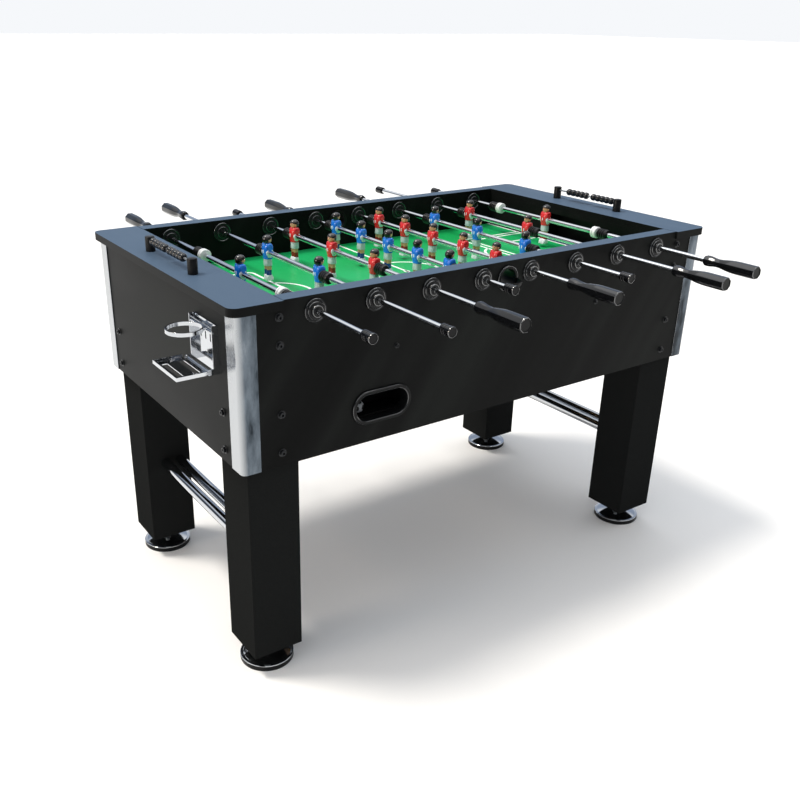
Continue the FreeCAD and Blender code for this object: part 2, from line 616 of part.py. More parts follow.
# number, men, spacing of the men, side that plays it (+1: grips at the rear), rest offset
RODS = [(1, 1, 0, 1, -55), (2, 2, 242, 1, -34), (3, 3, 184, -1, 22), (4, 5, 122, 1, -14),
        (5, 5, 122, -1, -11), (6, 3, 184, 1, -19), (7, 2, 242, -1, 63), (8, 1, 0, -1, 18)]
half_play = size("play_width") / 2
bushings = []
for number, men, spacing, player, offset in RODS:
    x = ROD_PLACES[number - 1] * size("rod_pitch")
    yaw = 180 if player > 0 else 0
    turn = FreeCAD.Rotation(FreeCAD.Vector(0, 0, 1), yaw)
    centre = FreeCAD.Vector(x, offset, size("rod_height"))
    here = FreeCAD.Placement(centre, turn)
    outer_end = (men - 1) / 2 * spacing + size("bumper_end")
    if men == 1:
        outer_end = size("keeper_end")
    travel = half_play - size("hub_inner") - outer_end - size("end_gap")
    grip_end = size("grip_reach") + travel
    cap_end = size("cap_reach") + travel

    def at(along, reverse=False):
        """A placement on this rod, at a distance from its middle along its own Y."""
        flip = FreeCAD.Rotation(FreeCAD.Vector(0, 0, 1), 180 if reverse else 0)
        return here.multiply(FreeCAD.Placement(FreeCAD.Vector(0, along, 0), flip))

    inner_grip = grip_end - size("grip_length")
    tube_start = -(inner_grip + size("grip_bore_deep"))
    tube_end = cap_end - size("cap_wall")
    tube = ring(f"rod_{number}_steel", "rod_radius", "rod_bore", f"{tube_start}",
                f"{tube_end - tube_start}")
    tube.Placement = here
    node(f"rod_{number}_tube", tube)

    fittings = [(grip, at(-inner_grip)), (cap, at(cap_end - size("cap_length")))]
    bumper_at = outer_end - size("bumper_end") + size("bumper_start")
    fittings += [(bumper, at(bumper_at)), (bumper, at(-bumper_at, True))]
    if men == 1:
        fittings += [(collar, at(size("collar_start"))),
                     (collar, at(-size("collar_start"), True))]
    copies(f"rod_{number}_grip_set", fittings)

    row = [(step - (men - 1) / 2) * spacing for step in range(men)]
    copies(f"rod_{number}_players", [(figure, at(along)) for along in row])

    middle = FreeCAD.Vector(x, 0, size("rod_height"))
    walls = [FreeCAD.Placement(middle, FreeCAD.Rotation()),
             FreeCAD.Placement(middle, FreeCAD.Rotation(FreeCAD.Vector(0, 0, 1), 180))]
    copies(f"rod_{number}_bearings", [(sleeve, wall) for wall in walls])
    for wall in walls:
        bushings += [(bushing_outer, wall), (bushing_nut, wall)]
copies("rod_bushings", bushings)


# ---------------------------------------------------------------- goal scorers

wire_z = "table_height + wire_high"
frames = []
for side in (-1, 1):
    posts = []
    for across in (-1, 1):
        posts.append(cylinder(f"scorer_post{side + 1}_{across + 1}", "post_radius", "post_high",
                              (f"{side}*post_place", f"{across}*post_spread", "table_height")))
    wire = cylinder(f"scorer_wire{side + 1}", "wire_radius", "2*post_spread",
                    (f"{side}*post_place", "-post_spread", wire_z), "Y")
    frames.append(fuse(f"scorer_frame{side + 1}", posts + [wire]))
node("scorer_frames", group("scorer_frame_pair", frames))

# One bead, a short spool with two rounded flanges, turned about its own Z axis.
bead_long = "(bead_pitch - bead_gap)"
bead = turned("bead", [("bead_bore", "0"), ("bead_radius - 1.5", "0"), ("bead_radius", "1.5"),
                       ("bead_radius", f"{bead_long}*0.3"), ("bead_radius - 2", f"{bead_long}*0.4"),
                       ("bead_radius - 2", f"{bead_long}*0.6"), ("bead_radius", f"{bead_long}*0.7"),
                       ("bead_radius", f"{bead_long} - 1.5"), ("bead_radius - 1.5", bead_long),
                       ("bead_bore", bead_long)])
doc.recompute()
# A frame holds two rows of five. Seen from its own player, one row rests at the far
# post and the other leaves the free wire beside the near post.
ROW_STARTS = {"far": 101.5, "near": 6.5}
for side, name in ((-1, "left"), (1, "right")):
    for row_name, start in ROW_STARTS.items():
        row = []
        for step in range(5):
            along = -side * (start - step * size("bead_pitch"))
            spot = FreeCAD.Vector(side * size("post_place"), along,
                                  size("table_height") + size("wire_high"))
            lie = FreeCAD.Rotation(FreeCAD.Vector(1, 0, 0), -90 * side)
            row.append((bead, FreeCAD.Placement(spot, lie)))
        copies(f"scorer_{name}_{row_name}_beads", row)


# ---------------------------------------------------------------- folding cup holder

HOLDER_FACE = "-body_length/2"
HOLDER_Y = "-holder_place"
back = box("holder_back", ("holder_thick", "2*holder_half", "holder_high"),
           (f"{HOLDER_FACE} - holder_thick", f"{HOLDER_Y} - holder_half", "holder_low"))
ears, pin_holes = [], []
for side in (-1, 1):
    start = f"{HOLDER_Y} + {side}*(holder_half - ear_thick/2) - ear_thick/2"
    ears.append(box(f"holder_ear{side + 1}", ("ring_pivot_out + 4.5", "ear_thick", "holder_high"),
                    (f"{HOLDER_FACE} - ring_pivot_out - 4.5", start, "holder_low")))
    ears.append(box(f"holder_foot{side + 1}", ("tray_pivot_out", "ear_thick", "12"),
                    (f"{HOLDER_FACE} - tray_pivot_out", start, "tray_pivot_up - 6")))
    ears.append(cylinder(f"holder_lug{side + 1}", "6", "ear_thick",
                         (f"{HOLDER_FACE} - tray_pivot_out", start, "tray_pivot_up"), "Y"))
for out, up in (("tray_pivot_out", "tray_pivot_up"), ("ring_pivot_out", "ring_pivot_up")):
    pin_holes.append(cylinder(f"pin_hole_{out}", "pivot_pin + pivot_gap", "2*holder_half + 4",
                              (f"{HOLDER_FACE} - {out}", f"{HOLDER_Y} - holder_half - 2", up), "Y"))
for step in (-1, 0, 1):
    pin_holes.append(box(f"holder_slot{step + 1}", ("10", "5", "16"),
                         (f"{HOLDER_FACE} - 6", f"{HOLDER_Y} + {step}*22 - 2.5", "ring_pivot_up - 28")))
node("cup_holder_plate", cut("holder_plate", fuse("holder_form", [back] + ears), pin_holes))


def pivot(name, out, up):
    """A barrel between the ears with a pin through both of them."""
    inside = "(holder_half - ear_thick - 0.5)"
    barrel = cylinder(name + "_barrel", "pivot_radius", f"2*{inside}",
                      (f"{HOLDER_FACE} - {out}", f"{HOLDER_Y} - {inside}", up), "Y")
    pin = cylinder(name + "_pin", "pivot_pin", "2*holder_half + 2",
                   (f"{HOLDER_FACE} - {out}", f"{HOLDER_Y} - holder_half - 1", up), "Y")
    return [barrel, pin]


TRAY_X = f"({HOLDER_FACE} - tray_pivot_out)"
tray_floor = box("tray_floor", ("tray_reach - 9", "2*tray_half", "2"),
                 (f"{TRAY_X} - tray_reach", f"{HOLDER_Y} - tray_half", "tray_pivot_up - 2"))
tray_neck = box("tray_neck", ("12", "2*(holder_half - 4)", "2"),
                (f"{TRAY_X} - 12", f"{HOLDER_Y} - holder_half + 4", "tray_pivot_up - 2"))
tray_rims = [box("tray_rim_end", ("2", "2*tray_half", "tray_rim"),
                 (f"{TRAY_X} - tray_reach", f"{HOLDER_Y} - tray_half", "tray_pivot_up - 1"))]
for side in (-1, 1):
    tray_rims.append(box(f"tray_rim{side + 1}", ("tray_reach - 9", "2", "tray_rim"),
                         (f"{TRAY_X} - tray_reach", f"{HOLDER_Y} + {side}*(tray_half - 1) - 1",
                          "tray_pivot_up - 1")))
tray_slots = []
for step in (-1, 1):
    tray_slots.append(box(f"tray_slot{step + 1}", ("12", "80", "10"),
                          (f"{TRAY_X} - 38 + {step}*18 - 6", f"{HOLDER_Y} - 40", "tray_pivot_up - 6")))
node("cup_holder_tray",
     cut("tray_piece", fuse("tray_form", [tray_floor, tray_neck] + tray_rims
                            + pivot("tray_pivot", "tray_pivot_out", "tray_pivot_up")), tray_slots))

ring_x = f"({HOLDER_FACE} - ring_out)"
band_low = "ring_pivot_up - ring_tall/2"
band = cylinder("cup_band", "ring_bore + ring_wall", "ring_tall", (ring_x, HOLDER_Y, band_low))
band_room = cylinder("cup_room", "ring_bore", "ring_tall + 10", (ring_x, HOLDER_Y, band_low + " - 5"))
stem = box("cup_stem", ("10", "40", "ring_tall - 2"),
           (f"{HOLDER_FACE} - ring_pivot_out - 6", f"{HOLDER_Y} - 20", band_low + " + 1"))
node("cup_holder_ring",
     cut("ring_piece", fuse("ring_form", [band, stem] + pivot("ring_pivot", "ring_pivot_out",
                                                              "ring_pivot_up")), [band_room]))


# ---------------------------------------------------------------- origin

doc.recompute()
for piece in nodes.values():
    bound = {path.lstrip("."): text for path, text in piece.ExpressionEngine}
    for axis, alias in (("x", "shift_along"), ("y", "shift_across")):
        path = f"Placement.Base.{axis}"
        before = bound.get(path, str(getattr(piece.Placement.Base, axis)))
        piece.setExpression(path, f"{before} + Sizes.{alias}")


# ---------------------------------------------------------------- check and write

doc.recompute()
faults = []
for item in doc.Objects:
    if "Invalid" in item.State or "Error" in item.State:
        faults.append(f"{item.Name}: {item.State}")
for label, piece in nodes.items():
    shape = piece.Shape
    if shape.isNull() or not shape.isValid() or not shape.Solids:
        faults.append(f"{label}: shape is null, not valid or has no solid")
if faults:
    raise SystemExit("\n".join(faults))
for label, piece in nodes.items():
    piece.Shape.exportStep(f"parts/{label}.step")
    print(f"{label}: {len(piece.Shape.Solids)} solids, {piece.Shape.Volume / 1000:.1f} cm3")
print(len(nodes), "nodes")
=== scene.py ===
import math
import bmesh
import bpy
from mathutils import Matrix, Vector


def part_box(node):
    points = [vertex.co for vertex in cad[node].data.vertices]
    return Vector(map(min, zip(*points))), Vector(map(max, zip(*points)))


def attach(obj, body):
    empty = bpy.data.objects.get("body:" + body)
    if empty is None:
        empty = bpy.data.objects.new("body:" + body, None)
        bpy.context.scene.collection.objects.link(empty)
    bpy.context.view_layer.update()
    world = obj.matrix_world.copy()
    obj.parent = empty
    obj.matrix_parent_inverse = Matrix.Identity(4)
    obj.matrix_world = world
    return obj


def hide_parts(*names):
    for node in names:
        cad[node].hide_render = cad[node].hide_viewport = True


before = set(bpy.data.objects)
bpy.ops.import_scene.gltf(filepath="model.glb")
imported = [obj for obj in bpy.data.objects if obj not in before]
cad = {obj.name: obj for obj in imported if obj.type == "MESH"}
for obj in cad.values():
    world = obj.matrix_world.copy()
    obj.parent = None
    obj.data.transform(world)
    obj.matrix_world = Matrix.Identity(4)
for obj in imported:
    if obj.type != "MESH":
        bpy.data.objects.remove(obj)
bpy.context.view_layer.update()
MM = 0.001

# ---------------------------------------------------------------------------
# Cabinet boards: MDF faced with black melamine, sawn and edge-banded, then
# screwed together. The decks lie on the end panels, and the goal walls stand
# inside. These boards are flat, so the solids stay and only get their finish.


def srgb(code):
    """An sRGB hex colour as linear RGBA."""
    parts = [int(code[i:i + 2], 16) / 255 for i in (1, 3, 5)]
    return [p / 12.92 if p <= 0.04045 else ((p + 0.055) / 1.055) ** 2.4 for p in parts] + [1.0]


def join(node, sources):
    """Links each source to the node's input of that name or number."""
    for key, source in sources.items():
        node.id_data.links.new(source, node.inputs[key])


def add(material, kind, settings=None, inputs=None, links=None, stops=()):
    """Adds one shader node with its settings, input values and links. A colour ramp's
    stops are pairs of a position and a hex colour."""
    made = material.node_tree.nodes.new("ShaderNode" + kind)
    for name, value in (settings or {}).items():
        setattr(made, name, value)
    for key, value in (inputs or {}).items():
        made.inputs[key].default_value = value
    join(made, links or {})
    if stops:
        band = made.color_ramp.elements
        while len(band) < len(stops):
            band.new(0.5)
        for element, (position, colour) in zip(band, stops):
            element.position = position
            element.color = srgb(colour)
    return made


def finish_of(name, colour, roughness, metallic=0.0, **sockets):
    """A material whose surface shader has these values, and that shader's node."""
    material = bpy.data.materials.new(name)
    material.use_nodes = True
    shader = material.node_tree.nodes["Principled BSDF"]
    shader.inputs["Base Color"].default_value = srgb(colour)
    shader.inputs["Roughness"].default_value = roughness
    shader.inputs["Metallic"].default_value = metallic
    for socket, value in sockets.items():
        shader.inputs[socket.replace("_", " ")].default_value = value
    return material, shader


def cells(size):
    """The scale of a pattern whose cells are this many millimetres wide."""
    return 1 / (size * MM)


def paint(node_names, material):
    """Gives CAD solids one material."""
    for name in node_names:
        mesh = cad[name].data
        mesh.materials.clear()
        mesh.materials.append(material)


# Melamine film, pressed with a fine pearl texture: a satin black with painted soft
# reflections in faint streaks that run aslant, edges rounded by 0.8 mm, and a painted
# slate reflection of the sky on the top faces.
# The real pearl is about 0.3 mm; it is drawn 1.1 mm wide, so that it shows.
melamine, shader = finish_of("black_melamine", "#131516", 0.42, Specular_IOR_Level=0.05)
place = add(melamine, "TexCoord")
slant = add(melamine, "Mapping", settings={"vector_type": "TEXTURE"},
            inputs={"Rotation": (0.0, math.radians(35), 0.0),
                    "Scale": (100 * MM, 400 * MM, 1200 * MM)},
            links={"Vector": place.outputs["Object"]})
painted_reflection_streaks = add(melamine, "TexNoise", inputs={"Scale": 1.0, "Detail": 3.0, "Roughness": 0.45},
              links={"Vector": slant.outputs["Vector"]})
# Painted soft reflections: lighter and darker streaks aslant, put into the colour.
tone = add(melamine, "ValToRGB", links={"Fac": painted_reflection_streaks.outputs["Fac"]},
           stops=[(0.34, "#0b0c0c"), (0.52, "#111212"), (0.7, "#1b1d1c")])
upward = add(melamine, "SeparateXYZ", links={"Vector": place.outputs["Normal"]})
top = add(melamine, "MapRange", inputs={"From Min": 0.8, "From Max": 0.95},
          links={"Value": upward.outputs["Z"]})
# Painted reflection of the sky: a slate colour mixed in on faces that look up.
painted_sky_reflection = add(melamine, "Mix", settings={"data_type": "RGBA"}, inputs={7: srgb("#47586b")},
           links={0: top.outputs["Result"], 6: tone.outputs["Color"]})
pearl = add(melamine, "TexNoise", inputs={"Scale": cells(1.1), "Detail": 2.0},
            links={"Vector": place.outputs["Object"]})
gloss = add(melamine, "MapRange", inputs={"From Min": 0.3, "From Max": 0.7,
                                          "To Min": 0.38, "To Max": 0.50},
            links={"Value": painted_reflection_streaks.outputs["Fac"]})
edge = add(melamine, "Bevel", settings={"samples": 4}, inputs={"Radius": 0.8 * MM})
relief = add(melamine, "Bump", inputs={"Strength": 0.10, "Distance": 0.1 * MM},
             links={"Height": pearl.outputs["Fac"], "Normal": edge.outputs["Normal"]})
join(shader, {"Base Color": painted_sky_reflection.outputs[2],
              "Roughness": gloss.outputs["Result"],
              "Normal": relief.outputs["Normal"]})
paint(["side_panel_front", "side_panel_rear", "end_panels", "goal_walls", "top_decks"], melamine)

# The legs are wrapped in a plain vinyl foil, a deeper black than the melamine. Its
# embossed grain, 0.3 mm in reality, is drawn 1.4 mm wide.
foil, shader = finish_of("black_vinyl_foil", "#1b1c1c", 0.48, Specular_IOR_Level=0.0)
place = add(foil, "TexCoord")
grain = add(foil, "TexNoise", inputs={"Scale": cells(1.4), "Detail": 3.0},
            links={"Vector": place.outputs["Object"]})
tone = add(foil, "ValToRGB", links={"Fac": grain.outputs["Fac"]},
           stops=[(0.3, "#1a1b1b"), (0.7, "#222323")])
edge = add(foil, "Bevel", settings={"samples": 4}, inputs={"Radius": 1.2 * MM})
relief = add(foil, "Bump", inputs={"Strength": 0.12, "Distance": 0.1 * MM},
             links={"Height": grain.outputs["Fac"], "Normal": edge.outputs["Normal"]})
join(shader, {"Base Color": tone.outputs["Color"], "Normal": relief.outputs["Normal"]})
paint(["legs"], foil)

# Bare MDF on the beams under the field: wood fibre about 2.4 mm long, left raw.
raw_board, shader = finish_of("raw_mdf", "#9c7b52", 0.85)
place = add(raw_board, "TexCoord")
fibre = add(raw_board, "TexNoise", inputs={"Scale": cells(2.4), "Detail": 6.0, "Roughness": 0.7},
            links={"Vector": place.outputs["Object"]})
tone = add(raw_board, "ValToRGB", links={"Fac": fibre.outputs["Fac"]},
           stops=[(0.3, "#7f6340"), (0.7, "#ab8a5f")])
relief = add(raw_board, "Bump", inputs={"Strength": 0.4, "Distance": 0.2 * MM},
             links={"Height": fibre.outputs["Fac"]})
join(shader, {"Base Color": tone.outputs["Color"], "Normal": relief.outputs["Normal"]})
paint(["playfield_supports"], raw_board)


# ---------------------------------------------------------------------------
# Playfield: a 9 mm fibreboard, bare below, with a printed green film on top. White
# ink marks the halfway line and circle, double penalty boxes, goal boxes and arcs.
# The film's halftone dots, 0.1 mm in reality, are drawn 0.7 mm wide.

grass, shader = finish_of("printed_green_film", "#1aa257", 0.34, Specular_IOR_Level=0.35)
place = add(grass, "TexCoord")
drift = add(grass, "TexNoise", inputs={"Scale": cells(330), "Detail": 1.0},
            links={"Vector": place.outputs["Object"]})
tone = add(grass, "ValToRGB", links={"Fac": drift.outputs["Fac"]},
           stops=[(0.3, "#129a4e"), (0.7, "#1ca662")])
upward = add(grass, "SeparateXYZ", links={"Vector": place.outputs["Normal"]})
top = add(grass, "MapRange", inputs={"From Min": 0.4, "From Max": 0.6},
          links={"Value": upward.outputs["Z"]})
board = add(grass, "Mix", settings={"data_type": "RGBA"}, inputs={6: srgb("#4a3a28")},
            links={0: top.outputs["Result"], 7: tone.outputs["Color"]})
halftone = add(grass, "TexNoise", inputs={"Scale": cells(0.7), "Detail": 1.0},
               links={"Vector": place.outputs["Object"]})
relief = add(grass, "Bump", inputs={"Strength": 0.06, "Distance": 0.1 * MM},
             links={"Height": halftone.outputs["Fac"]})
join(shader, {"Base Color": board.outputs[2], "Normal": relief.outputs["Normal"]})
paint(["playfield"], grass)


class Form:
    """Collects corners and faces of one piece, each face with its material's number. It
    is drawn in metres, or in the unit given."""

    def __init__(self, unit=1.0):
        self.unit = unit
        self.corners = []
        self.faces = []
        self.numbers = []
        self.at = Matrix()

    def loft(self, rings, number=0, ends=(True, True), loop=False):
        """Skin over rings of equally many points, with its ends closed. The material's
        number can be a list, with one number for each band between two rings."""
        first = len(self.corners)
        count = len(rings[0])
        for one in rings:
            self.corners += [self.at @ Vector(point) for point in one]
        spans = len(rings) if loop else len(rings) - 1
        band = number if isinstance(number, list) else [number] * spans
        for i in range(spans):
            a = first + i * count
            b = first + (i + 1) % len(rings) * count
            for j in range(count):
                k = (j + 1) % count
                self.faces.append((a + j, a + k, b + k, b + j))
                self.numbers.append(band[i])
        if not loop:
            last = first + (len(rings) - 1) * count
            if ends[0]:
                self.faces.append(tuple(range(first + count - 1, first - 1, -1)))
                self.numbers.append(band[0])
            if ends[1]:
                self.faces.append(tuple(range(last, last + count)))
                self.numbers.append(band[-1])

    def turn(self, profile, number=0, steps=32, ends=(True, True), loop=False):
        """A turned form about Z from (radius, height) pairs."""
        rings = []
        for radius, height in profile:
            rings.append([(radius * math.cos(2 * math.pi * j / steps),
                           radius * math.sin(2 * math.pi * j / steps), height)
                          for j in range(steps)])
        self.loft(rings, number, ends, loop)

    def mesh(self, name, materials, sharp=35):
        """The finished mesh, smooth but for edges sharper than so many degrees."""
        mesh = bpy.data.meshes.new(name)
        mesh.from_pydata([corner * self.unit for corner in self.corners], [], self.faces)
        for material in materials:
            mesh.materials.append(material)
        for face, number in zip(mesh.polygons, self.numbers):
            face.material_index = number
        work = bmesh.new()
        work.from_mesh(mesh)
        bmesh.ops.recalc_face_normals(work, faces=work.faces)
        work.to_mesh(mesh)
        work.free()
        mesh.shade_smooth()
        mesh.set_sharp_from_angle(angle=math.radians(sharp))
        return mesh


def piece(name, mesh, body, slot, *replaced, at=None):
    """Shows a mesh as a piece that rides on a body and stands for CAD nodes."""
    made = bpy.data.objects.new(name, mesh)
    bpy.context.scene.collection.objects.link(made)
    if at is not None:
        made.matrix_world = at
    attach(made, body)
    if replaced:
        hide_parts(*replaced)


# Screen-printed ink: matt white, in bands 7 mm wide that stand 0.15 mm proud.
ink, shader = finish_of("white_ink", "#eef2f0", 0.45)
place = add(ink, "TexCoord")
mottle = add(ink, "TexNoise", inputs={"Scale": cells(3.8), "Detail": 3.0},
             links={"Vector": place.outputs["Object"]})
tone = add(ink, "ValToRGB", links={"Fac": mottle.outputs["Fac"]},
           stops=[(0.25, "#dfe6e2"), (0.7, "#f5f8f6")])
join(shader, {"Base Color": tone.outputs["Color"]})

field_low, field_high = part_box("playfield")
FIELD_TOP = field_high[2]
HALF_FIELD = (field_high[0] - field_low[0]) / 2
MIDDLE = Vector(((field_low[0] + field_high[0]) / 2, (field_low[1] + field_high[1]) / 2, 0))
CENTRED = Matrix.Translation(MIDDLE)
LINE = 7 * MM
INK_LOW, INK_HIGH = FIELD_TOP - 0.2 * MM, FIELD_TOP + 0.15 * MM
RAIL = 338 * MM  # from the middle to the inner face of a rail
CIRCLE = 95 * MM
# Outer and inner penalty box and goal box: distance from the middle, half width and
# corner radius, in millimetres. Then the arc before the boxes, and the spot.
BOXES = ((349, 200, 14), (368, 181, 8), (462, 112, 4))
ARC_CENTRE, ARC_RADIUS, SPOT = 387, 90, 412
lines = Form()


def marking(path, closed=False):
    """A flat band of ink along a path on the field."""
    rings = []
    for i, (x, y) in enumerate(path):
        before = path[i - 1] if i or closed else path[i]
        after = path[(i + 1) % len(path)] if i + 1 < len(path) or closed else path[i]
        run = Vector((after[0] - before[0], after[1] - before[1])).normalized()
        side = Vector((-run.y, run.x)) * LINE / 2
        rings.append([(x + side.x, y + side.y, INK_LOW), (x + side.x, y + side.y, INK_HIGH),
                      (x - side.x, y - side.y, INK_HIGH), (x - side.x, y - side.y, INK_LOW)])
    lines.loft(rings, loop=closed)


def arc(x, y, radius, start, end, steps=48):
    """Points on an arc between two angles in degrees."""
    points = []
    for i in range(steps + 1):
        angle = math.radians(start + (end - start) * i / steps)
        points.append((x + radius * math.cos(angle), y + radius * math.sin(angle)))
    return points


marking(arc(0, 0, CIRCLE, 0, 352.5), closed=True)
marking(arc(0, 0, 5 * MM, 0, 345, 23), closed=True)
marking([(0, -RAIL), (0, RAIL)])
for side in (-1, 1):
    goal_line = side * (HALF_FIELD - 4 * MM)
    for reach, half, bend in BOXES:
        x, y, r = reach * MM, half * MM, bend * MM
        corner = arc(x + r, y - r, r, 180, 90, 8)
        path = [(goal_line, y)] + [(side * px, py) for px, py in corner[::-1]]
        path += [(px, -py) for px, py in path[::-1]]
        marking(path)
    marking([(goal_line, -RAIL), (goal_line, RAIL)])
    swing = math.degrees(math.acos((ARC_CENTRE - BOXES[0][0]) / ARC_RADIUS))
    bow = arc(-ARC_CENTRE * MM, 0, ARC_RADIUS * MM, -swing, swing)
    marking([(side * -px, py) for px, py in bow])
    dot = arc(SPOT * MM, 0, 4 * MM, 0, 345, 15)
    marking([(side * px, py) for px, py in dot], closed=True)
piece("field_markings", lines.mesh("field_markings", [ink]), "cabinet", "green_field",
      at=CENTRED)


# The joint between each end of a deck and the rail beside it is 1.2 mm wide. Its shade
# is painted as a near-black strip over the joint: a painted shadow line.
painted_joint_shadow, shader = finish_of("joint_painted_shadow", "#050505", 0.9, Specular_IOR_Level=0.0)
place = add(painted_joint_shadow, "TexCoord")
shadow_mottle = add(painted_joint_shadow, "TexNoise", inputs={"Scale": cells(1.7)},
             links={"Vector": place.outputs["Object"]})
tone = add(painted_joint_shadow, "ValToRGB", links={"Fac": shadow_mottle.outputs["Fac"]},
           stops=[(0.4, "#040404"), (0.8, "#101112")])
join(shader, {"Base Color": tone.outputs["Color"]})
deck_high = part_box("top_decks")[1]
HALF_JOINT, PROUD = 0.6 * MM, 0.1 * MM
joints = Form()
for sx in (-1, 1):
    for sy in (-1, 1):
        left, right = sx * HALF_FIELD - HALF_JOINT, sx * HALF_FIELD + HALF_JOINT
        low, high = deck_high[2] - PROUD, deck_high[2] + PROUD
        edge_y = deck_high[1] - MIDDLE.y - 1 * MM
        joints.loft([[(left, y, low), (right, y, low), (right, y, high), (left, y, high)]
                     for y in (sy * RAIL, sy * edge_y)])
piece("deck_joints", joints.mesh("deck_joints", [painted_joint_shadow]), "cabinet", "black_laminate",
      at=CENTRED)


# ---------------------------------------------------------------------------
# Levelling feet: a 125 mm round foot of black ABS with a chromed rim and dome,
# a lock nut, and a threaded stem that screws into a plug in the leg.

# Chrome plate on steel: a neutral mirror, softer in clouds about 29 mm wide, where it
# was buffed and handled.
chrome, shader = finish_of("chrome_plate", "#c6c9cd", 0.08, metallic=1.0)
place = add(chrome, "TexCoord")
polish = add(chrome, "TexNoise", inputs={"Scale": cells(28.6), "Detail": 3.0},
             links={"Vector": place.outputs["Object"]})
gloss = add(chrome, "MapRange", inputs={"From Min": 0.3, "From Max": 0.7,
                                        "To Min": 0.06, "To Max": 0.14},
            links={"Value": polish.outputs["Fac"]})
edge = add(chrome, "Bevel", settings={"samples": 4}, inputs={"Radius": 0.5 * MM})
join(shader, {"Roughness": gloss.outputs["Result"], "Normal": edge.outputs["Normal"]})

# Moulded black ABS: nearly black, half gloss, with the fine grain of the mould: 0.2 mm
# in reality, and drawn 0.83 mm wide.
abs_black, shader = finish_of("moulded_abs", "#131415", 0.32, Specular_IOR_Level=0.15)
place = add(abs_black, "TexCoord")
grain = add(abs_black, "TexNoise", inputs={"Scale": cells(0.83), "Detail": 2.0},
            links={"Vector": place.outputs["Object"]})
tone = add(abs_black, "ValToRGB", links={"Fac": grain.outputs["Fac"]},
           stops=[(0.3, "#0e0f10"), (0.7, "#151617")])
edge = add(abs_black, "Bevel", settings={"samples": 4}, inputs={"Radius": 0.6 * MM})
relief = add(abs_black, "Bump", inputs={"Strength": 0.15, "Distance": 0.1 * MM},
             links={"Height": grain.outputs["Fac"], "Normal": edge.outputs["Normal"]})
join(shader, {"Base Color": tone.outputs["Color"], "Normal": relief.outputs["Normal"]})

# Zinc-plated steel: greyer than chrome and satin. Its crystals are drawn 2 mm wide.
zinc, shader = finish_of("zinc_plate", "#a9adb0", 0.32, metallic=1.0)
place = add(zinc, "TexCoord")
crystals = add(zinc, "TexVoronoi", inputs={"Scale": cells(2)},
               links={"Vector": place.outputs["Object"]})
gloss = add(zinc, "MapRange", inputs={"To Min": 0.26, "To Max": 0.42},
            links={"Value": crystals.outputs["Distance"]})
join(shader, {"Roughness": gloss.outputs["Result"]})

foot = Form(MM)
foot.turn([(58, 0), (61.5, 0), (62.3, 1.2), (62.3, 11.4), (61.8, 12.0), (58, 12.0)], 0, 72)
foot.turn([(59.5, 11.8), (61.7, 11.9), (62.5, 12.5), (62.3, 13.3), (61.4, 13.9), (59.4, 14.0),
           (56.0, 13.2)], 1, 72)
foot.turn([(57, 12.6), (53, 14.2), (46, 15.9), (38, 17.6), (30, 19.0), (22, 20.0), (13, 20.6),
           (8, 20.7)], 1, 72)
hexagon = []
for height, share in ((20.4, 0.92), (21.2, 1.0), (31.2, 1.0), (32, 0.92)):
    hexagon.append([(12 * share * math.cos(math.radians(60 * j)),
                     12 * share * math.sin(math.radians(60 * j)), height) for j in range(6)])
foot.loft(hexagon, 2)
# The thread is M12, drawn as a stack of rounded ridges.
PITCH = 1.75
thread = [(5.2, 31.5)]
for step in range(12):
    up = 32.4 + step * PITCH
    thread += [(5.15, up), (5.95, up + 0.7), (5.95, up + 1.1)]
foot.turn(thread + [(5.9, 78), (5.0, 78)], 2, 24)
foot_mesh = foot.mesh("levelling_foot", [abs_black, chrome, zinc], 30)
for corner in ("front_left", "front_right", "rear_left", "rear_right"):
    name = "leveler_" + corner
    low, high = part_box(name)
    middle = Vector(((low[0] + high[0]) / 2, (low[1] + high[1]) / 2, low[2]))
    piece("foot_" + corner, foot_mesh, name, "foot_black", name, at=Matrix.Translation(middle))


# ---------------------------------------------------------------------------
# Brace tubes and corner trims: chromed steel tube pushed between the legs, and
# 2 mm sheet bent over each corner of the cabinet.

paint(["leg_brace_tubes"], chrome)

# Rolled and thinly plated sheet: a greyer mirror than the tubes, with clouds of thin
# plating 38 mm wide and 143 mm long, and painted light on the end wings, facing ±X, so
# the wings along the sides stay darker.
sheet_metal, shader = finish_of("rolled_sheet", "#9aa0a6", 0.2, metallic=1.0)
place = add(sheet_metal, "TexCoord")
rolled = add(sheet_metal, "Mapping", inputs={"Scale": (cells(38.5), cells(38.5), cells(143))},
             links={"Vector": place.outputs["Object"]})
grain = add(sheet_metal, "TexNoise", inputs={"Scale": 1.0, "Detail": 7.0, "Roughness": 0.62},
            links={"Vector": rolled.outputs["Vector"]})
tone = add(sheet_metal, "ValToRGB", links={"Fac": grain.outputs["Fac"]},
           stops=[(0.36, "#24292e"), (0.45, "#4a525a"), (0.58, "#626b74"), (0.75, "#838b93")])
facing = add(sheet_metal, "SeparateXYZ", links={"Vector": place.outputs["Normal"]})
endward = add(sheet_metal, "Math", settings={"operation": "ABSOLUTE"},
              links={0: facing.outputs["X"]})
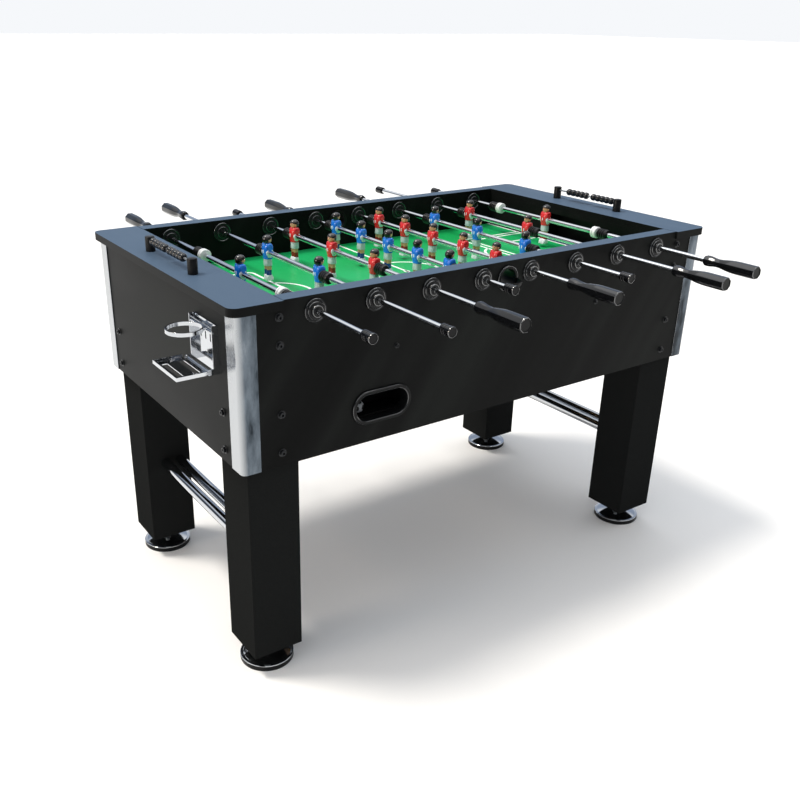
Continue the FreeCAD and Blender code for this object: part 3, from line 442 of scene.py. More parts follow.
# Painted light: faces of the end wings, toward ±X, are mixed towards a pale grey.
painted_end_wing_light = add(sheet_metal, "Mix", settings={"data_type": "RGBA"}, inputs={7: srgb("#b4b7ba")},
              links={0: endward.outputs["Value"], 6: tone.outputs["Color"]})
gloss = add(sheet_metal, "MapRange", inputs={"From Min": 0.3, "From Max": 0.7,
                                             "To Min": 0.14, "To Max": 0.30},
            links={"Value": grain.outputs["Fac"]})
edge = add(sheet_metal, "Bevel", settings={"samples": 4}, inputs={"Radius": 1.4 * MM})
join(shader, {"Base Color": painted_end_wing_light.outputs[2],
              "Roughness": gloss.outputs["Result"],
              "Normal": edge.outputs["Normal"]})
paint(["corner_trims"], sheet_metal)


# ---------------------------------------------------------------------------
# Cabinet bolts: black oxide socket-head bolts, each on a turned washer. Four stand at
# each end of a side panel and two at each end of an end panel, with small rail screws.
# The scuffs on their oxide are drawn 1.4 mm wide, coarser than real ones.

black_oxide, shader = finish_of("black_oxide_steel", "#17181a", 0.36, metallic=0.6)
place = add(black_oxide, "TexCoord")
scuffs = add(black_oxide, "TexNoise", inputs={"Scale": cells(1.4), "Detail": 4.0},
             links={"Vector": place.outputs["Object"]})
tone = add(black_oxide, "ValToRGB", links={"Fac": scuffs.outputs["Fac"]},
           stops=[(0.35, "#121314"), (0.8, "#33363a")])
join(shader, {"Base Color": tone.outputs["Color"]})

bolts = Form()
side_low, side_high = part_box("side_panel_front")
half_length, half_width = (side_high[0] - side_low[0]) / 2, MIDDLE.y - side_low[1]


def bolt(spot, outward, scale=1.0):
    """One bolt head on its washer, standing on a panel's face."""
    turn = Vector((0, 0, 1)).rotation_difference(Vector(outward)).to_matrix().to_4x4()
    bolts.at = Matrix.Translation(spot) @ turn @ Matrix.Scale(scale * MM, 4)
    bolts.turn([(8.6, 0), (9, 0.3), (9, 1.1), (8.5, 1.5), (5, 1.5)], 0, 32)
    bolts.turn([(5.6, 1.4), (6, 1.8), (6, 5.6), (5.4, 6.4), (3.5, 6.5), (3.1, 6.2)], 0, 24,
               ends=(True, False))
    rim = [(3.1 * math.cos(math.radians(15 * j)), 3.1 * math.sin(math.radians(15 * j)), 6.2)
           for j in range(24)]
    wall = []
    for depth in (6.0, 3.0):
        one = []
        for j in range(24):
            angle = math.radians(15 * j)
            # The socket is a hexagon, 5 mm across its flats.
            flat = 2.5 / math.cos((angle + math.pi / 6) % (math.pi / 3) - math.pi / 6)
            one.append((flat * math.cos(angle), flat * math.sin(angle), depth))
        wall.append(one)
    bolts.loft([rim] + wall, 0, ends=(False, True))


SIDE_HEIGHTS, END_HEIGHTS = (847, 790, 643, 558), (640, 556)
SCREW_X, SCREW_HEIGHT, SCREW_SCALE = 303 * MM, 737 * MM, 0.7
bolt_x = (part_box("goal_walls")[1][0] - MIDDLE.x + HALF_FIELD) / 2
end_bolt_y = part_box("legs")[1][1] - MIDDLE.y - 60 * MM
for sy in (-1, 1):
    for sx in (-1, 1):
        for height in SIDE_HEIGHTS:
            bolt((sx * bolt_x, sy * half_width, height * MM), (0, sy, 0))
        bolt((sx * SCREW_X, sy * half_width, SCREW_HEIGHT), (0, sy, 0), SCREW_SCALE)
        for height in END_HEIGHTS:
            bolt((sx * half_length, sy * end_bolt_y, height * MM), (sx, 0, 0))
bolts.at = Matrix()
piece("bolt_heads", bolts.mesh("bolt_heads", [black_oxide], 30), "cabinet", "black_screw",
      "cabinet_bolts", at=CENTRED)


# ---------------------------------------------------------------------------
# Rods: half-inch chromed steel tube, one for each row of players, turning in
# nylon sleeves. The tubes are plain, so their solids stay.

# Chromed tube, drawn and polished along its length: long scratches, drawn 1.1 mm wide.
tube_steel, shader = finish_of("polished_tube", "#e4e6e8", 0.11, metallic=1.0)
place = add(tube_steel, "TexCoord")
pulled = add(tube_steel, "Mapping", inputs={"Scale": (cells(1.1), cells(167), cells(1.1))},
             links={"Vector": place.outputs["Object"]})
scratch = add(tube_steel, "TexNoise", inputs={"Scale": 1.0, "Detail": 4.0},
              links={"Vector": pulled.outputs["Vector"]})
gloss = add(tube_steel, "MapRange", inputs={"From Min": 0.3, "From Max": 0.7,
                                            "To Min": 0.07, "To Max": 0.16},
            links={"Value": scratch.outputs["Fac"]})
join(shader, {"Roughness": gloss.outputs["Result"]})
paint([f"rod_{number}_tube" for number in range(1, 9)], tube_steel)

# Nylon: black and waxy, more matt than ABS. Its moulded grain is drawn 1.25 mm wide.
nylon, shader = finish_of("moulded_nylon", "#1a1b1c", 0.3, Specular_IOR_Level=0.16)
place = add(nylon, "TexCoord")
grain = add(nylon, "TexNoise", inputs={"Scale": cells(1.25), "Detail": 2.0},
            links={"Vector": place.outputs["Object"]})
tone = add(nylon, "ValToRGB", links={"Fac": grain.outputs["Fac"]},
           stops=[(0.3, "#121314"), (0.75, "#1e2021")])
relief = add(nylon, "Bump", inputs={"Strength": 0.2, "Distance": 0.1 * MM},
             links={"Height": grain.outputs["Fac"]})
join(shader, {"Base Color": tone.outputs["Color"], "Normal": relief.outputs["Normal"]})
paint([f"rod_{number}_bearings" for number in range(1, 9)], nylon)

# Glossy ABS from a polished mould: deep black, with haze from hands in 17 mm clouds.
gloss_abs, shader = finish_of("glossy_abs", "#0b0c0e", 0.2, Specular_IOR_Level=0.45,
                              Coat_Weight=0.15, Coat_Roughness=0.06)
place = add(gloss_abs, "TexCoord")
haze_and_glint = add(gloss_abs, "TexNoise", inputs={"Scale": cells(16.7), "Detail": 4.0},
           links={"Vector": place.outputs["Object"]})
gloss = add(gloss_abs, "MapRange", inputs={"From Min": 0.3, "From Max": 0.7,
                                           "To Min": 0.09, "To Max": 0.18},
            links={"Value": haze_and_glint.outputs["Fac"]})
join(shader, {"Roughness": gloss.outputs["Result"]})

# A lighter, glossier copy of the same ABS, put on raised edges and rims as a painted highlight, its
# brightness varied in 11 mm patches.
painted_highlight_abs, shader = finish_of("abs_painted_highlight", "#26282b", 0.14, Specular_IOR_Level=1.0,
                           Coat_Weight=1.0, Coat_Roughness=0.08)
place = add(painted_highlight_abs, "TexCoord")
haze_and_glint = add(painted_highlight_abs, "TexNoise", inputs={"Scale": cells(11.1), "Detail": 3.0},
           links={"Vector": place.outputs["Object"]})
tone = add(painted_highlight_abs, "ValToRGB", links={"Fac": haze_and_glint.outputs["Fac"]},
           stops=[(0.3, "#1c1e20"), (0.7, "#34373a")])
join(shader, {"Base Color": tone.outputs["Color"]})

bushings = Form()
wall_low, wall_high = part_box("side_panel_rear")
# Sections as (radius, height) pairs; band 1 is the painted highlight on their raised edges.
OUTER_FLANGE = [(10.4, 0), (24.2, 0), (25, 0.8), (25, 3.2), (24.4, 4), (21.6, 4), (20.6, 3.2),
                (19.6, 3.2), (19, 4.6), (18.2, 5.8), (14.5, 6), (13.6, 6.6), (13, 10.8),
                (12.2, 12), (10.6, 12), (10.2, 11.4), (10.2, 0)]
OUTER_BANDS = [0, 1, 1, 1, 0, 1, 0, 0, 1, 0, 0, 0, 1, 1, 0, 0, 0]
INNER_NUT = [(10.4, 0), (24.2, 0), (25, 0.8), (25, 3.2), (24.4, 4), (22.4, 4), (21.4, 3.2),
             (17.5, 3.0), (15.6, 3.6), (15, 5.4), (14.2, 6), (10.6, 6), (10.2, 5.5), (10.2, 0)]
INNER_BANDS = [0, 1, 1, 1, 0, 1, 0, 0, 1, 1, 0, 0, 0, 0]
LEDGE = 20 * MM  # how far the ledge under the field stands out from the inner wall
OUTER, INNER = wall_high[1] - MIDDLE.y, wall_low[1] + LEDGE - MIDDLE.y
ABOUT_Y = Matrix.Rotation(math.radians(-90), 4, "X")
for number in range(1, 9):
    low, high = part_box(f"rod_{number}_bearings")
    x, z = (low[0] + high[0]) / 2, (low[2] + high[2]) / 2
    for turned in (0, 180):
        spin = Matrix.Rotation(math.radians(turned), 4, "Z")
        here = Matrix.Translation((x, MIDDLE.y, z)) @ spin
        bushings.at = here @ Matrix.Translation((0, OUTER, 0)) @ ABOUT_Y @ Matrix.Scale(MM, 4)
        bushings.turn(OUTER_FLANGE, OUTER_BANDS, 48, loop=True)
        bushings.at = (here @ Matrix.Translation((0, INNER, 0)) @ ABOUT_Y
                       @ Matrix.Scale(-MM, 4))
        bushings.turn(INNER_NUT, INNER_BANDS, 48, loop=True)
bushings.at = Matrix()
piece("rod_bushing_set", bushings.mesh("rod_bushing_set", [nylon, painted_highlight_abs], 30), "cabinet",
      "black_plastic", "rod_bushings")


# ---------------------------------------------------------------------------
# Grips and end caps: octagonal grips moulded in glossy ABS and pressed on one end
# of each rod, and a plain cap on the other, so that a rod can't hurt anyone. Both end
# in a rim with a painted highlight round a duller, sunken face.

GRIP_LENGTH, CAP_LENGTH = 140, 30
grip = Form(MM)
GRIP = [(0, 10.6), (1, 11.8), (3, 12.7), (9, 13.1), (15, 12.7), (21, 11.8), (27, 10.8),
        (33, 10.2), (39, 10.3), (45, 10.9), (52, 12.1), (60, 13.3), (68, 14.4), (76, 15.1),
        (84, 15.5), (92, 15.7), (130, 15.7), (138.2, 15.6), (139.4, 15.2), (140, 14.4),
        (139.8, 13.2), (138.6, 12.6)]
rings = []
for along, radius in GRIP:
    one = []
    for j in range(8):
        # Each of the eight long edges is rounded over: three points at every corner.
        for turned, share in ((-2.6, 0.989), (0.0, 0.997), (2.6, 0.989)):
            angle = math.radians(45 * j + 22.5 + turned)
            one.append((radius * share * math.cos(angle), radius * share * math.sin(angle), along))
    rings.append(one)
# The last four bands are the end: a painted highlight on its rim, then the plain end face.
grip.loft(rings, [0] * (len(rings) - 5) + [1, 1, 2, 2])
grip.turn([(6.4, -0.4), (8.6, -0.4), (9.4, 0.4), (9.4, 1.2)], 0, 32)
grip_mesh = grip.mesh("octagonal_grip", [gloss_abs, painted_highlight_abs, abs_black], 12)

cap = Form(MM)
# The cap ends the same way: a painted highlight on its rim, then the plain end face.
cap.turn([(6.5, 0), (9.4, 0), (10.2, 0.8), (10.5, 2.0), (10.5, 6.4), (9.8, 7.0), (9.8, 8.2),
          (10.5, 8.8), (10.5, 13.4), (9.8, 14.0), (9.8, 15.2), (10.5, 15.8), (10.9, 25.5),
          (10.9, 28.6), (10.5, 29.6), (9.7, 30), (8.9, 29.8), (8.5, 29)],
         [0] * 13 + [1, 1, 2, 2], 40)
cap_mesh = cap.mesh("end_cap", [gloss_abs, painted_highlight_abs, abs_black], 30)

# How many men each rod carries, and the rods of the blue team, which grips at the rear.
MEN = {1: 1, 2: 2, 3: 3, 4: 5, 5: 5, 6: 3, 7: 2, 8: 1}
BLUE = (1, 2, 4, 6)
rod_axis = {}
for number in MEN:
    low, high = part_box(f"rod_{number}_tube")
    rod_axis[number] = ((low[0] + high[0]) / 2, (low[2] + high[2]) / 2)
    x, z = rod_axis[number]
    low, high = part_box(f"rod_{number}_grip_set")
    toward = 1 if number in BLUE else -1
    grip_end, cap_end = (high[1], low[1]) if toward > 0 else (low[1], high[1])
    face = Matrix.Rotation(math.radians(-90 * toward), 4, "X")
    piece(f"grip_{number}", grip_mesh, f"rod_{number}", "grip_black", f"rod_{number}_grip_set",
          at=Matrix.Translation((x, grip_end - toward * GRIP_LENGTH * MM, z)) @ face)
    face = Matrix.Rotation(math.radians(90 * toward), 4, "X")
    piece(f"cap_{number}", cap_mesh, f"rod_{number}", "grip_black",
          at=Matrix.Translation((x, cap_end + toward * CAP_LENGTH * MM, z)) @ face)


# ---------------------------------------------------------------------------
# Bumpers and collars: ribbed rubber rings beside the outermost players soften the
# stop at the wall, and the goalkeeper rods have a white collar before theirs.

# Rubber: black, a little shiny from its mould, with a bloom of dust in 4.5 mm clouds.
rubber, shader = finish_of("bumper_rubber", "#1c1c1d", 0.3, Specular_IOR_Level=0.35)
place = add(rubber, "TexCoord")
dust = add(rubber, "TexNoise", inputs={"Scale": cells(4.5), "Detail": 5.0},
           links={"Vector": place.outputs["Object"]})
tone = add(rubber, "ValToRGB", links={"Fac": dust.outputs["Fac"]},
           stops=[(0.35, "#0c0c0d"), (0.75, "#19191a")])
relief = add(rubber, "Bump", inputs={"Strength": 0.25, "Distance": 0.15 * MM},
             links={"Height": dust.outputs["Fac"]})
join(shader, {"Base Color": tone.outputs["Color"], "Normal": relief.outputs["Normal"]})

# White acetal: dense, smooth machined plastic, with faint clouds 11 mm wide.
acetal, shader = finish_of("white_acetal", "#e6e9ea", 0.28)
place = add(acetal, "TexCoord")
cloud = add(acetal, "TexNoise", inputs={"Scale": cells(11.1)},
            links={"Vector": place.outputs["Object"]})
tone = add(acetal, "ValToRGB", links={"Fac": cloud.outputs["Fac"]},
           stops=[(0.3, "#dfe3e4"), (0.7, "#eff1f1")])
join(shader, {"Base Color": tone.outputs["Color"]})

bumper = Form(MM)
ribs = [(6.4, 0), (11.4, 0), (12.8, 0.8)]
for step in range(4):
    start = 1.4 + step * 7.1
    ribs += [(13.1, start), (13.5, start + 1.2), (13.5, start + 3.0), (12.8, start + 4.0),
             (10.2, start + 4.8), (10.2, start + 6.0), (12.2, start + 6.6)]
ribs = ribs[:-3] + [(11.4, 29.5), (6.4, 29.5)]
bumper.turn(ribs, 0, 40, loop=True)
bumper_mesh = bumper.mesh("ribbed_bumper", [rubber], 30)

collar = Form(MM)
collar.turn([(6.4, 0), (13.6, 0), (15, 1.4), (15, 4.6), (13.8, 5.6), (12.6, 6.2), (12.6, 10),
             (13.8, 10.6), (15, 11.4), (15, 14.6), (13.6, 16), (6.4, 16)], 0, 40, loop=True)
collar_mesh = collar.mesh("goalkeeper_collar", [acetal], 30)

# On a goalkeeper's rod, the inner ends of its collars and bumpers, from its middle.
KEEPER_COLLAR, KEEPER_BUMPER = 183 * MM, 203.5 * MM
row_middle = {}
for number, men in MEN.items():
    x, z = rod_axis[number]
    low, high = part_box(f"rod_{number}_players")
    middle = (low[1] + high[1]) / 2
    row_middle[number] = (middle, high[1] - low[1])
    reach = (high[1] - low[1]) / 2 + 1 * MM if men > 1 else KEEPER_BUMPER
    for side in (-1, 1):
        face = Matrix.Rotation(math.radians(-90 * side), 4, "X")
        piece(f"bumper_{number}_{side + 1}", bumper_mesh, f"rod_{number}", "grip_black",
              at=Matrix.Translation((x, middle + side * reach, z)) @ face)
        if men == 1:
            piece(f"collar_{number}_{side + 1}", collar_mesh, f"rod_{number}", "grip_black",
                  at=Matrix.Translation((x, middle + side * KEEPER_COLLAR, z)) @ face)


# ---------------------------------------------------------------------------
# Players: moulded figures, painted by hand in layers: shirt, pale arms and cuffs,
# grey shorts, bare knees, socks and one broad boot. A rod runs through the chest.


def enamel(name, low, high, roughness=0.24):
    """Glossy enamel over plastic: full colour, with the tone of brush strokes 7 mm long."""
    material, surface = finish_of(name, high, roughness, Coat_Weight=0.4, Coat_Roughness=0.08)
    spot = add(material, "TexCoord")
    brush = add(material, "TexNoise", inputs={"Scale": cells(7.1), "Detail": 3.0},
                links={"Vector": spot.outputs["Object"]})
    tint = add(material, "ValToRGB", links={"Fac": brush.outputs["Fac"]},
               stops=[(0.3, low), (0.65, high)])
    dents = add(material, "Bump", inputs={"Strength": 0.12, "Distance": 0.3 * MM},
                links={"Height": brush.outputs["Fac"]})
    join(surface, {"Base Color": tint.outputs["Color"], "Normal": dents.outputs["Normal"]})
    return material


hair = enamel("hair_enamel", "#0b0908", "#17120f", 0.22)
skin = enamel("skin_enamel", "#cf9069", "#e0a983", 0.34)
pale = enamel("pale_enamel", "#cdd8e2", "#e8eef3")
shorts = enamel("shorts_enamel", "#aebdc4", "#c8d3d8", 0.32)
boots = enamel("boot_enamel", "#c4ccd4", "#e4e9ed", 0.26)
blue_shirt = enamel("blue_enamel", "#1260cc", "#2a8ae8")
red_shirt = enamel("red_enamel", "#b8151d", "#e03436")
navy_sock = enamel("navy_enamel", "#15246b", "#213a92")
dark_red_sock = enamel("dark_red_enamel", "#7a0d10", "#a51a1b")


def oval(x, y, z, half_x, half_y, power=2.0):
    """A level ring of 24 points, round at power 2 and squarer above it."""
    ring = []
    for j in range(24):
        angle = math.radians(15 * j)
        c, s = math.cos(angle), math.sin(angle)
        ring.append((x + half_x * math.copysign(abs(c) ** (2 / power), c),
                     y + half_y * math.copysign(abs(s) ** (2 / power), s), z))
    return ring


def ball_rings(centre, halves):
    """Rings of a small ellipsoid, from its lowest point to its highest."""
    made = []
    for i in range(7):
        up = math.radians(-90 + 30 * i)
        share = max(math.cos(up), 0.02)
        made.append(oval(centre[0], centre[1], centre[2] + halves[2] * math.sin(up),
                         halves[0] * share, halves[1] * share))
    return made


HAIR, SKIN, SHIRT, PALE, SHORTS, SOCK, BOOT = range(7)
# The figure is drawn in millimetres, faces -X, and has the rod's axis as its origin.
figure = Form(MM)
# The trunk, from the shoulders down to the hem of the shorts.
figure.loft([oval(0, 0, 22.4, 4.4, 4.8), oval(0, 0, 21.8, 6.4, 8.0),
             oval(0, 0, 19.8, 8.4, 11.0, 2.4), oval(-0.3, 0, 15.4, 10.6, 12.6, 2.7),
             oval(-0.5, 0, 8, 11.6, 12.8, 2.8), oval(-0.5, 0, 0, 11.7, 12.5, 2.8),
             oval(-0.3, 0, -7, 10.9, 12.0, 2.8), oval(0, 0, -13, 9.9, 11.6, 2.8),
             oval(0, 0, -15.4, 10.1, 11.8, 2.8), oval(0, 0, -16, 9.0, 10.8, 2.7)], SHIRT)
figure.loft([oval(0, 0, -14.5, 8.6, 10.6, 2.6), oval(0, 0, -17, 9.1, 11.0, 2.6),
             oval(0, 0, -24, 9.3, 11.5, 2.6), oval(0, 0, -31, 9.6, 12.0, 2.6),
             oval(0, 0, -32.4, 9.4, 11.8, 2.6), oval(0, 0, -32.6, 8.2, 10.6, 2.6)], SHORTS)
# At each side a pale ring stands round the hole of the rod.
for side in (-1, 1):
    figure.at = Matrix.Rotation(math.radians(-90 * side), 4, "X")
    figure.turn([(8.8, 8.5), (9.6, 11.6), (9.6, 12.6), (8.9, 13.4), (6.6, 13.5), (6.6, 10)],
                PALE, 28, ends=(False, False))
    figure.at = Matrix()
    # The shoulder with a short sleeve, and the arm below it held against the side.
    figure.loft([oval(0.2, side * 9.0, 22.0, 4.6, 3.0), oval(0.2, side * 10.4, 20.2, 7.6, 3.2),
                 oval(0.0, side * 11.1, 14.0, 9.4, 2.8), oval(0.0, side * 11.3, 4.4, 9.2, 2.5)],
                SHIRT)
    figure.loft([oval(0.0, side * 11.3, 5.0, 7.6, 2.5), oval(0.0, side * 11.4, 4.2, 8.6, 2.4),
                 oval(-0.2, side * 11.4, 1.0, 8.2, 2.3), oval(-0.4, side * 11.3, -5.0, 7.2, 2.3),
                 oval(-0.4, side * 11.1, -11.0, 5.2, 1.9),
                 oval(-0.4, side * 10.9, -12.4, 3.2, 1.3)], PALE)
    # A leg: knee, calf and sock.
    figure.loft([oval(0, side * 5.3, -31, 6.8, 5.5), oval(-0.2, side * 5.3, -36, 6.6, 5.4),
                 oval(-0.5, side * 5.3, -39, 6.7, 5.4), oval(0, side * 5.3, -43, 6.2, 5.1),
                 oval(0, side * 5.3, -44, 6.0, 5.0)], SKIN)
    figure.loft([oval(0, side * 5.3, -42.4, 6.0, 5.0), oval(0, side * 5.3, -42.8, 6.8, 5.5),
                 oval(0, side * 5.3, -44.6, 6.8, 5.5), oval(0.2, side * 5.3, -50, 6.6, 5.6),
                 oval(0.2, side * 5.4, -57, 6.8, 5.8)], SOCK)
# One broad boot, flat in front and behind to strike the ball.
figure.loft([oval(0, 0, -54.6, 6.2, 10.2, 3), oval(0, 0, -55.6, 7.4, 11.2, 3.4),
             oval(-0.8, 0, -60, 9.0, 11.6, 3.8), oval(-1.0, 0, -65, 10.2, 11.7, 4),
             oval(-1.0, 0, -68.2, 10.4, 11.6, 4), oval(-1.0, 0, -69, 9.6, 10.8, 4)], BOOT)
# Head: neck, face and ears, then a thick cap of hair with a fringe at the front.
figure.loft([oval(0, 0, 19, 4.8, 5.0), oval(0, 0, 22, 4.4, 4.6), oval(0, 0, 26, 4.4, 4.6)], SKIN)
figure.loft([oval(-0.8, 0, 21.4, 2.2, 2.2), oval(-1.4, 0, 22.0, 5.6, 4.8),
             oval(-1.0, 0, 24.0, 8.6, 7.0), oval(-0.5, 0, 27.2, 10.0, 8.5),
             oval(-0.2, 0, 31, 10.3, 9.1), oval(0, 0, 35, 9.8, 8.8),
             oval(0, 0, 38, 7.8, 7.0), oval(0, 0, 39.6, 4.0, 3.8)], SKIN)
figure.loft(ball_rings((-10.6, 0, 28.6), (1.7, 1.4, 2.4)), SKIN)
for side in (-1, 1):
    figure.loft(ball_rings((-0.6, side * 9.2, 29.0), (2.0, 1.1, 2.7)), SKIN)
    figure.loft(ball_rings((-9.8, side * 3.4, 30.8), (0.8, 1.1, 0.7)), HAIR)
    figure.loft(ball_rings((-9.8, side * 3.5, 32.7), (0.8, 1.8, 0.45)), HAIR)
figure.loft(ball_rings((-9.9, 0, 25.2), (0.7, 2.3, 0.45)), SOCK)
# The hair is a dome down to its widest ring, then hangs to the nape (+X) and the ears.
HAIR_Z, HAIR_HIGH, HAIR_X, HAIR_Y = 31.2, 10.8, 11.6, 10.2
hair_cap = []
for i in range(15):
    rim = []
    for j in range(32):
        angle = 2 * math.pi * j / 32
        c, s = math.cos(angle), math.sin(angle)
        # The hairline: high over the face, lower at the ears and lowest at the nape.
        line = 34.4 if c < -0.45 else (30.6 if c < 0.1 else 24.2)
        up = math.radians(90 - 9 * min(i, 10))
        z = HAIR_Z + HAIR_HIGH * math.sin(up)
        share = max(math.cos(up), 0.04)
        if z < line:
            z = line
            rise = (z - HAIR_Z) / HAIR_HIGH
            share = math.sqrt(max(1 - rise ** 2, 0)) if rise > 0 else 1.0
        elif i > 10:
            fall = (i - 10) / 4
            z = HAIR_Z - (HAIR_Z - line) * fall
            share = 1.0 - 0.12 * fall ** 2
        quiff = 1.3 if c < -0.45 and i > 3 else 0.0
        rim.append((0.9 - quiff + HAIR_X * share * c, HAIR_Y * share * s, z))
    hair_cap.append(rim)
figure.loft(hair_cap, HAIR)
# A plain white mark on the chest and another on the back, with no lettering.
for front in (-1, 1):
    mark = [(front * 11.7 - 0.5, -1.3, -1), (front * 11.7 - 0.5, 1.3, -1),
            (front * 11.5 - 0.5, 1.3, 6.6), (front * 11.5 - 0.5, -1.3, 6.6)]
    figure.loft([mark, [(px + front * 0.45, py * 0.9, pz) for px, py, pz in mark]], PALE)

teams = {}
for team, shirt, sock in (("blue", blue_shirt, navy_sock), ("red", red_shirt, dark_red_sock)):
    coats = [hair, skin, shirt, pale, shorts, sock, boots]
    teams[team] = figure.mesh(team + "_player", coats, 50)
PLAYER_WIDTH = 27 * MM
for number, men in MEN.items():
    x, z = rod_axis[number]
    middle, width = row_middle[number]
    team = "blue" if number in BLUE else "red"
    spacing = (width - PLAYER_WIDTH) / (men - 1) if men > 1 else 0
    facing = Matrix.Rotation(math.radians(180 if team == "blue" else 0), 4, "Z")
    for step in range(men):
        y = middle + (step - (men - 1) / 2) * spacing
        piece(f"{team}_player_{number}_{step + 1}", teams[team], f"rod_{number}", "player_" + team,
              f"rod_{number}_players", at=Matrix.Translation((x, y, z)) @ facing)


# ---------------------------------------------------------------------------
# Goal scorers: two flat-topped ABS posts on each deck with a steel wire between
# them, and two rows of five glossy beads that slide along it to keep the score.

POST_RADIUS, WIRE_HEIGHT, BEAD_PITCH = 11 * MM, 25 * MM, 16.5 * MM
frames = Form()
low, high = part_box("scorer_frames")
post_x = (high[0] - low[0]) / 2 - POST_RADIUS
post_y = (high[1] - low[1]) / 2 - POST_RADIUS
for sx in (-1, 1):
    for sy in (-1, 1):
        frames.at = (Matrix.Translation((sx * post_x, sy * post_y, low[2]))
                     @ Matrix.Scale(MM, 4))
        frames.turn([(10.6, 0), (11, 0.5), (11, 32.4), (10.4, 33.6), (9.4, 34)], 0, 40)
    frames.at = (Matrix.Translation((sx * post_x, 0, low[2] + WIRE_HEIGHT)) @ ABOUT_Y
                 @ Matrix.Scale(MM, 4))
    reach = post_y / MM - 9
    frames.turn([(2.5, -reach), (2.5, reach)], 1, 20)
frames.at = Matrix()
piece("scorer_posts", frames.mesh("scorer_posts", [abs_black, zinc], 30), "cabinet",
      "black_plastic", "scorer_frames", at=CENTRED)

bead = Form(MM)
bead.turn([(2.8, 0.3), (5.4, 0.3), (6.4, 0.9), (7.6, 2.2), (8.6, 3.6), (9.3, 5.4), (9.48, 7.2),
           (9.48, 8.8), (9.3, 10.6), (8.6, 12.4), (7.6, 13.8), (6.4, 15.1), (5.4, 15.7),
           (2.8, 15.7)], 0, 36, loop=True)
bead_mesh = bead.mesh("score_bead", [gloss_abs], 30)
for name in ("left_far", "left_near", "right_far", "right_near"):
    node = f"scorer_{name}_beads"
    low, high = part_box(node)
    x, z = (low[0] + high[0]) / 2, (low[2] + high[2]) / 2
    for step in range(5):
        y = low[1] + step * BEAD_PITCH
        piece(f"bead_{name}_{step + 1}", bead_mesh, node, "bead_black", node,
              at=Matrix.Translation((x, y, z)) @ ABOUT_Y)


# ---------------------------------------------------------------------------
# Ball entries, ball returns and the gutters behind them: moulded in black ABS and
# pushed into the holes of the side panels. The lips of their rings carry a painted highlight.

paint(["ball_entries", "ball_chutes", "ball_return_trays"], abs_black)
RETURN_X, RETURN_Z, RETURN_HALF, ENTRY_Z = -339, 610, 37.5, 840
# The return ring's section, as pairs of end radius and height over the panel.
LIP = [(38.9, 0.1), (39.0, 2.6), (38.6, 3.9), (37.9, 4.7), (37.0, 4.9), (36.3, 4.4),
       (33.4, 4.2), (32.6, 4.7), (31.5, 4.7), (30.5, 4.0), (29.8, 2.2), (29.7, -12)]
# Band 1 is the painted highlight on the lip's two crests.
LIP_BANDS = [0, 0, 1, 0, 0, 0, 0, 0, 1, 0, 0]


def oval_ring(radius, out, steps=20):
    """A ring with round ends and straight sides, standing out from the front panel."""
    ring = []
    for centre, start in ((RETURN_HALF, -90), (-RETURN_HALF, 90)):
        for i in range(steps):
            angle = math.radians(start + 180 * i / (steps - 1))
            ring.append(((RETURN_X + centre + radius * math.cos(angle)) * MM,
                         -OUTER - out * MM, (RETURN_Z + radius * math.sin(angle)) * MM))
    return ring


rims = Form()
for angle in (0, 180):
    turned = Matrix.Rotation(math.radians(angle), 4, "Z")
    rims.at = turned
    rims.loft([oval_ring(radius, out) for radius, out in LIP], LIP_BANDS, ends=(False, False))
    # The entry's outer ring has the same painted highlight on its edge.
    rims.at = (turned @ Matrix.Translation((0, OUTER, ENTRY_Z * MM)) @ ABOUT_Y
               @ Matrix.Scale(MM, 4))
    rims.turn([(27.3, 3.8), (27.7, 4.5), (28.4, 4.8), (29.2, 4.4), (29.6, 3.6), (29.0, 3.0)], 1, 48,
              loop=True)
rims.at = Matrix()
piece("return_rims", rims.mesh("return_rims", [abs_black, painted_highlight_abs], 30), "cabinet", "black_plastic",
      at=CENTRED)

# The ball: hard moulded plastic, grey with twelve black spots, one at each corner of an
# icosahedron. Its 0.2 mm grain is drawn 2 mm wide.
ball_skin, shader = finish_of("moulded_ball", "#7d8186", 0.38)
place = add(ball_skin, "TexCoord")
grain = add(ball_skin, "TexNoise", inputs={"Scale": cells(2), "Detail": 3.0},
            links={"Vector": place.outputs["Object"]})
relief = add(ball_skin, "Bump", inputs={"Strength": 0.3, "Distance": 0.15 * MM},
             links={"Height": grain.outputs["Fac"]})
join(shader, {"Normal": relief.outputs["Normal"]})

low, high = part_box("ball")
centre = Vector([(low[i] + high[i]) / 2 for i in range(3)])
work = bmesh.new()
bmesh.ops.create_icosphere(work, subdivisions=5, radius=15.9 * MM)
SPOT_EDGE = 0.937  # cosine of the angle from a spot's centre to its edge
golden = (1 + math.sqrt(5)) / 2
poles = []
for a in (-1, 1):
    for b in (-golden, golden):
        poles += [Vector((0, a, b)).normalized(), Vector((a, b, 0)).normalized(),
                  Vector((b, 0, a)).normalized()]
for face in work.faces:
    out = face.calc_center_median().normalized()
    face.smooth = True
    if max(out.dot(pole) for pole in poles) > SPOT_EDGE:
        face.material_index = 1
ball_mesh = bpy.data.meshes.new("ball")
work.to_mesh(ball_mesh)
work.free()
ball_mesh.materials.append(ball_skin)
ball_mesh.materials.append(abs_black)
piece("game_ball", ball_mesh, "ball", "ball_grey", "ball", at=Matrix.Translation(centre))


# ---------------------------------------------------------------------------
# Cup holder: a chromed steel wall plate with two ears. A slotted tray folds up
# against it, and a ring above folds down, each on a pin through both ears.

paint(["cup_holder_plate", "cup_holder_tray", "cup_holder_ring"], chrome)


# ---------------------------------------------------------------------------
# The setting: a pale floor that runs out to a white horizon, and soft light from
# above and from behind the table, with a ceiling panel, a small left one and a sun.

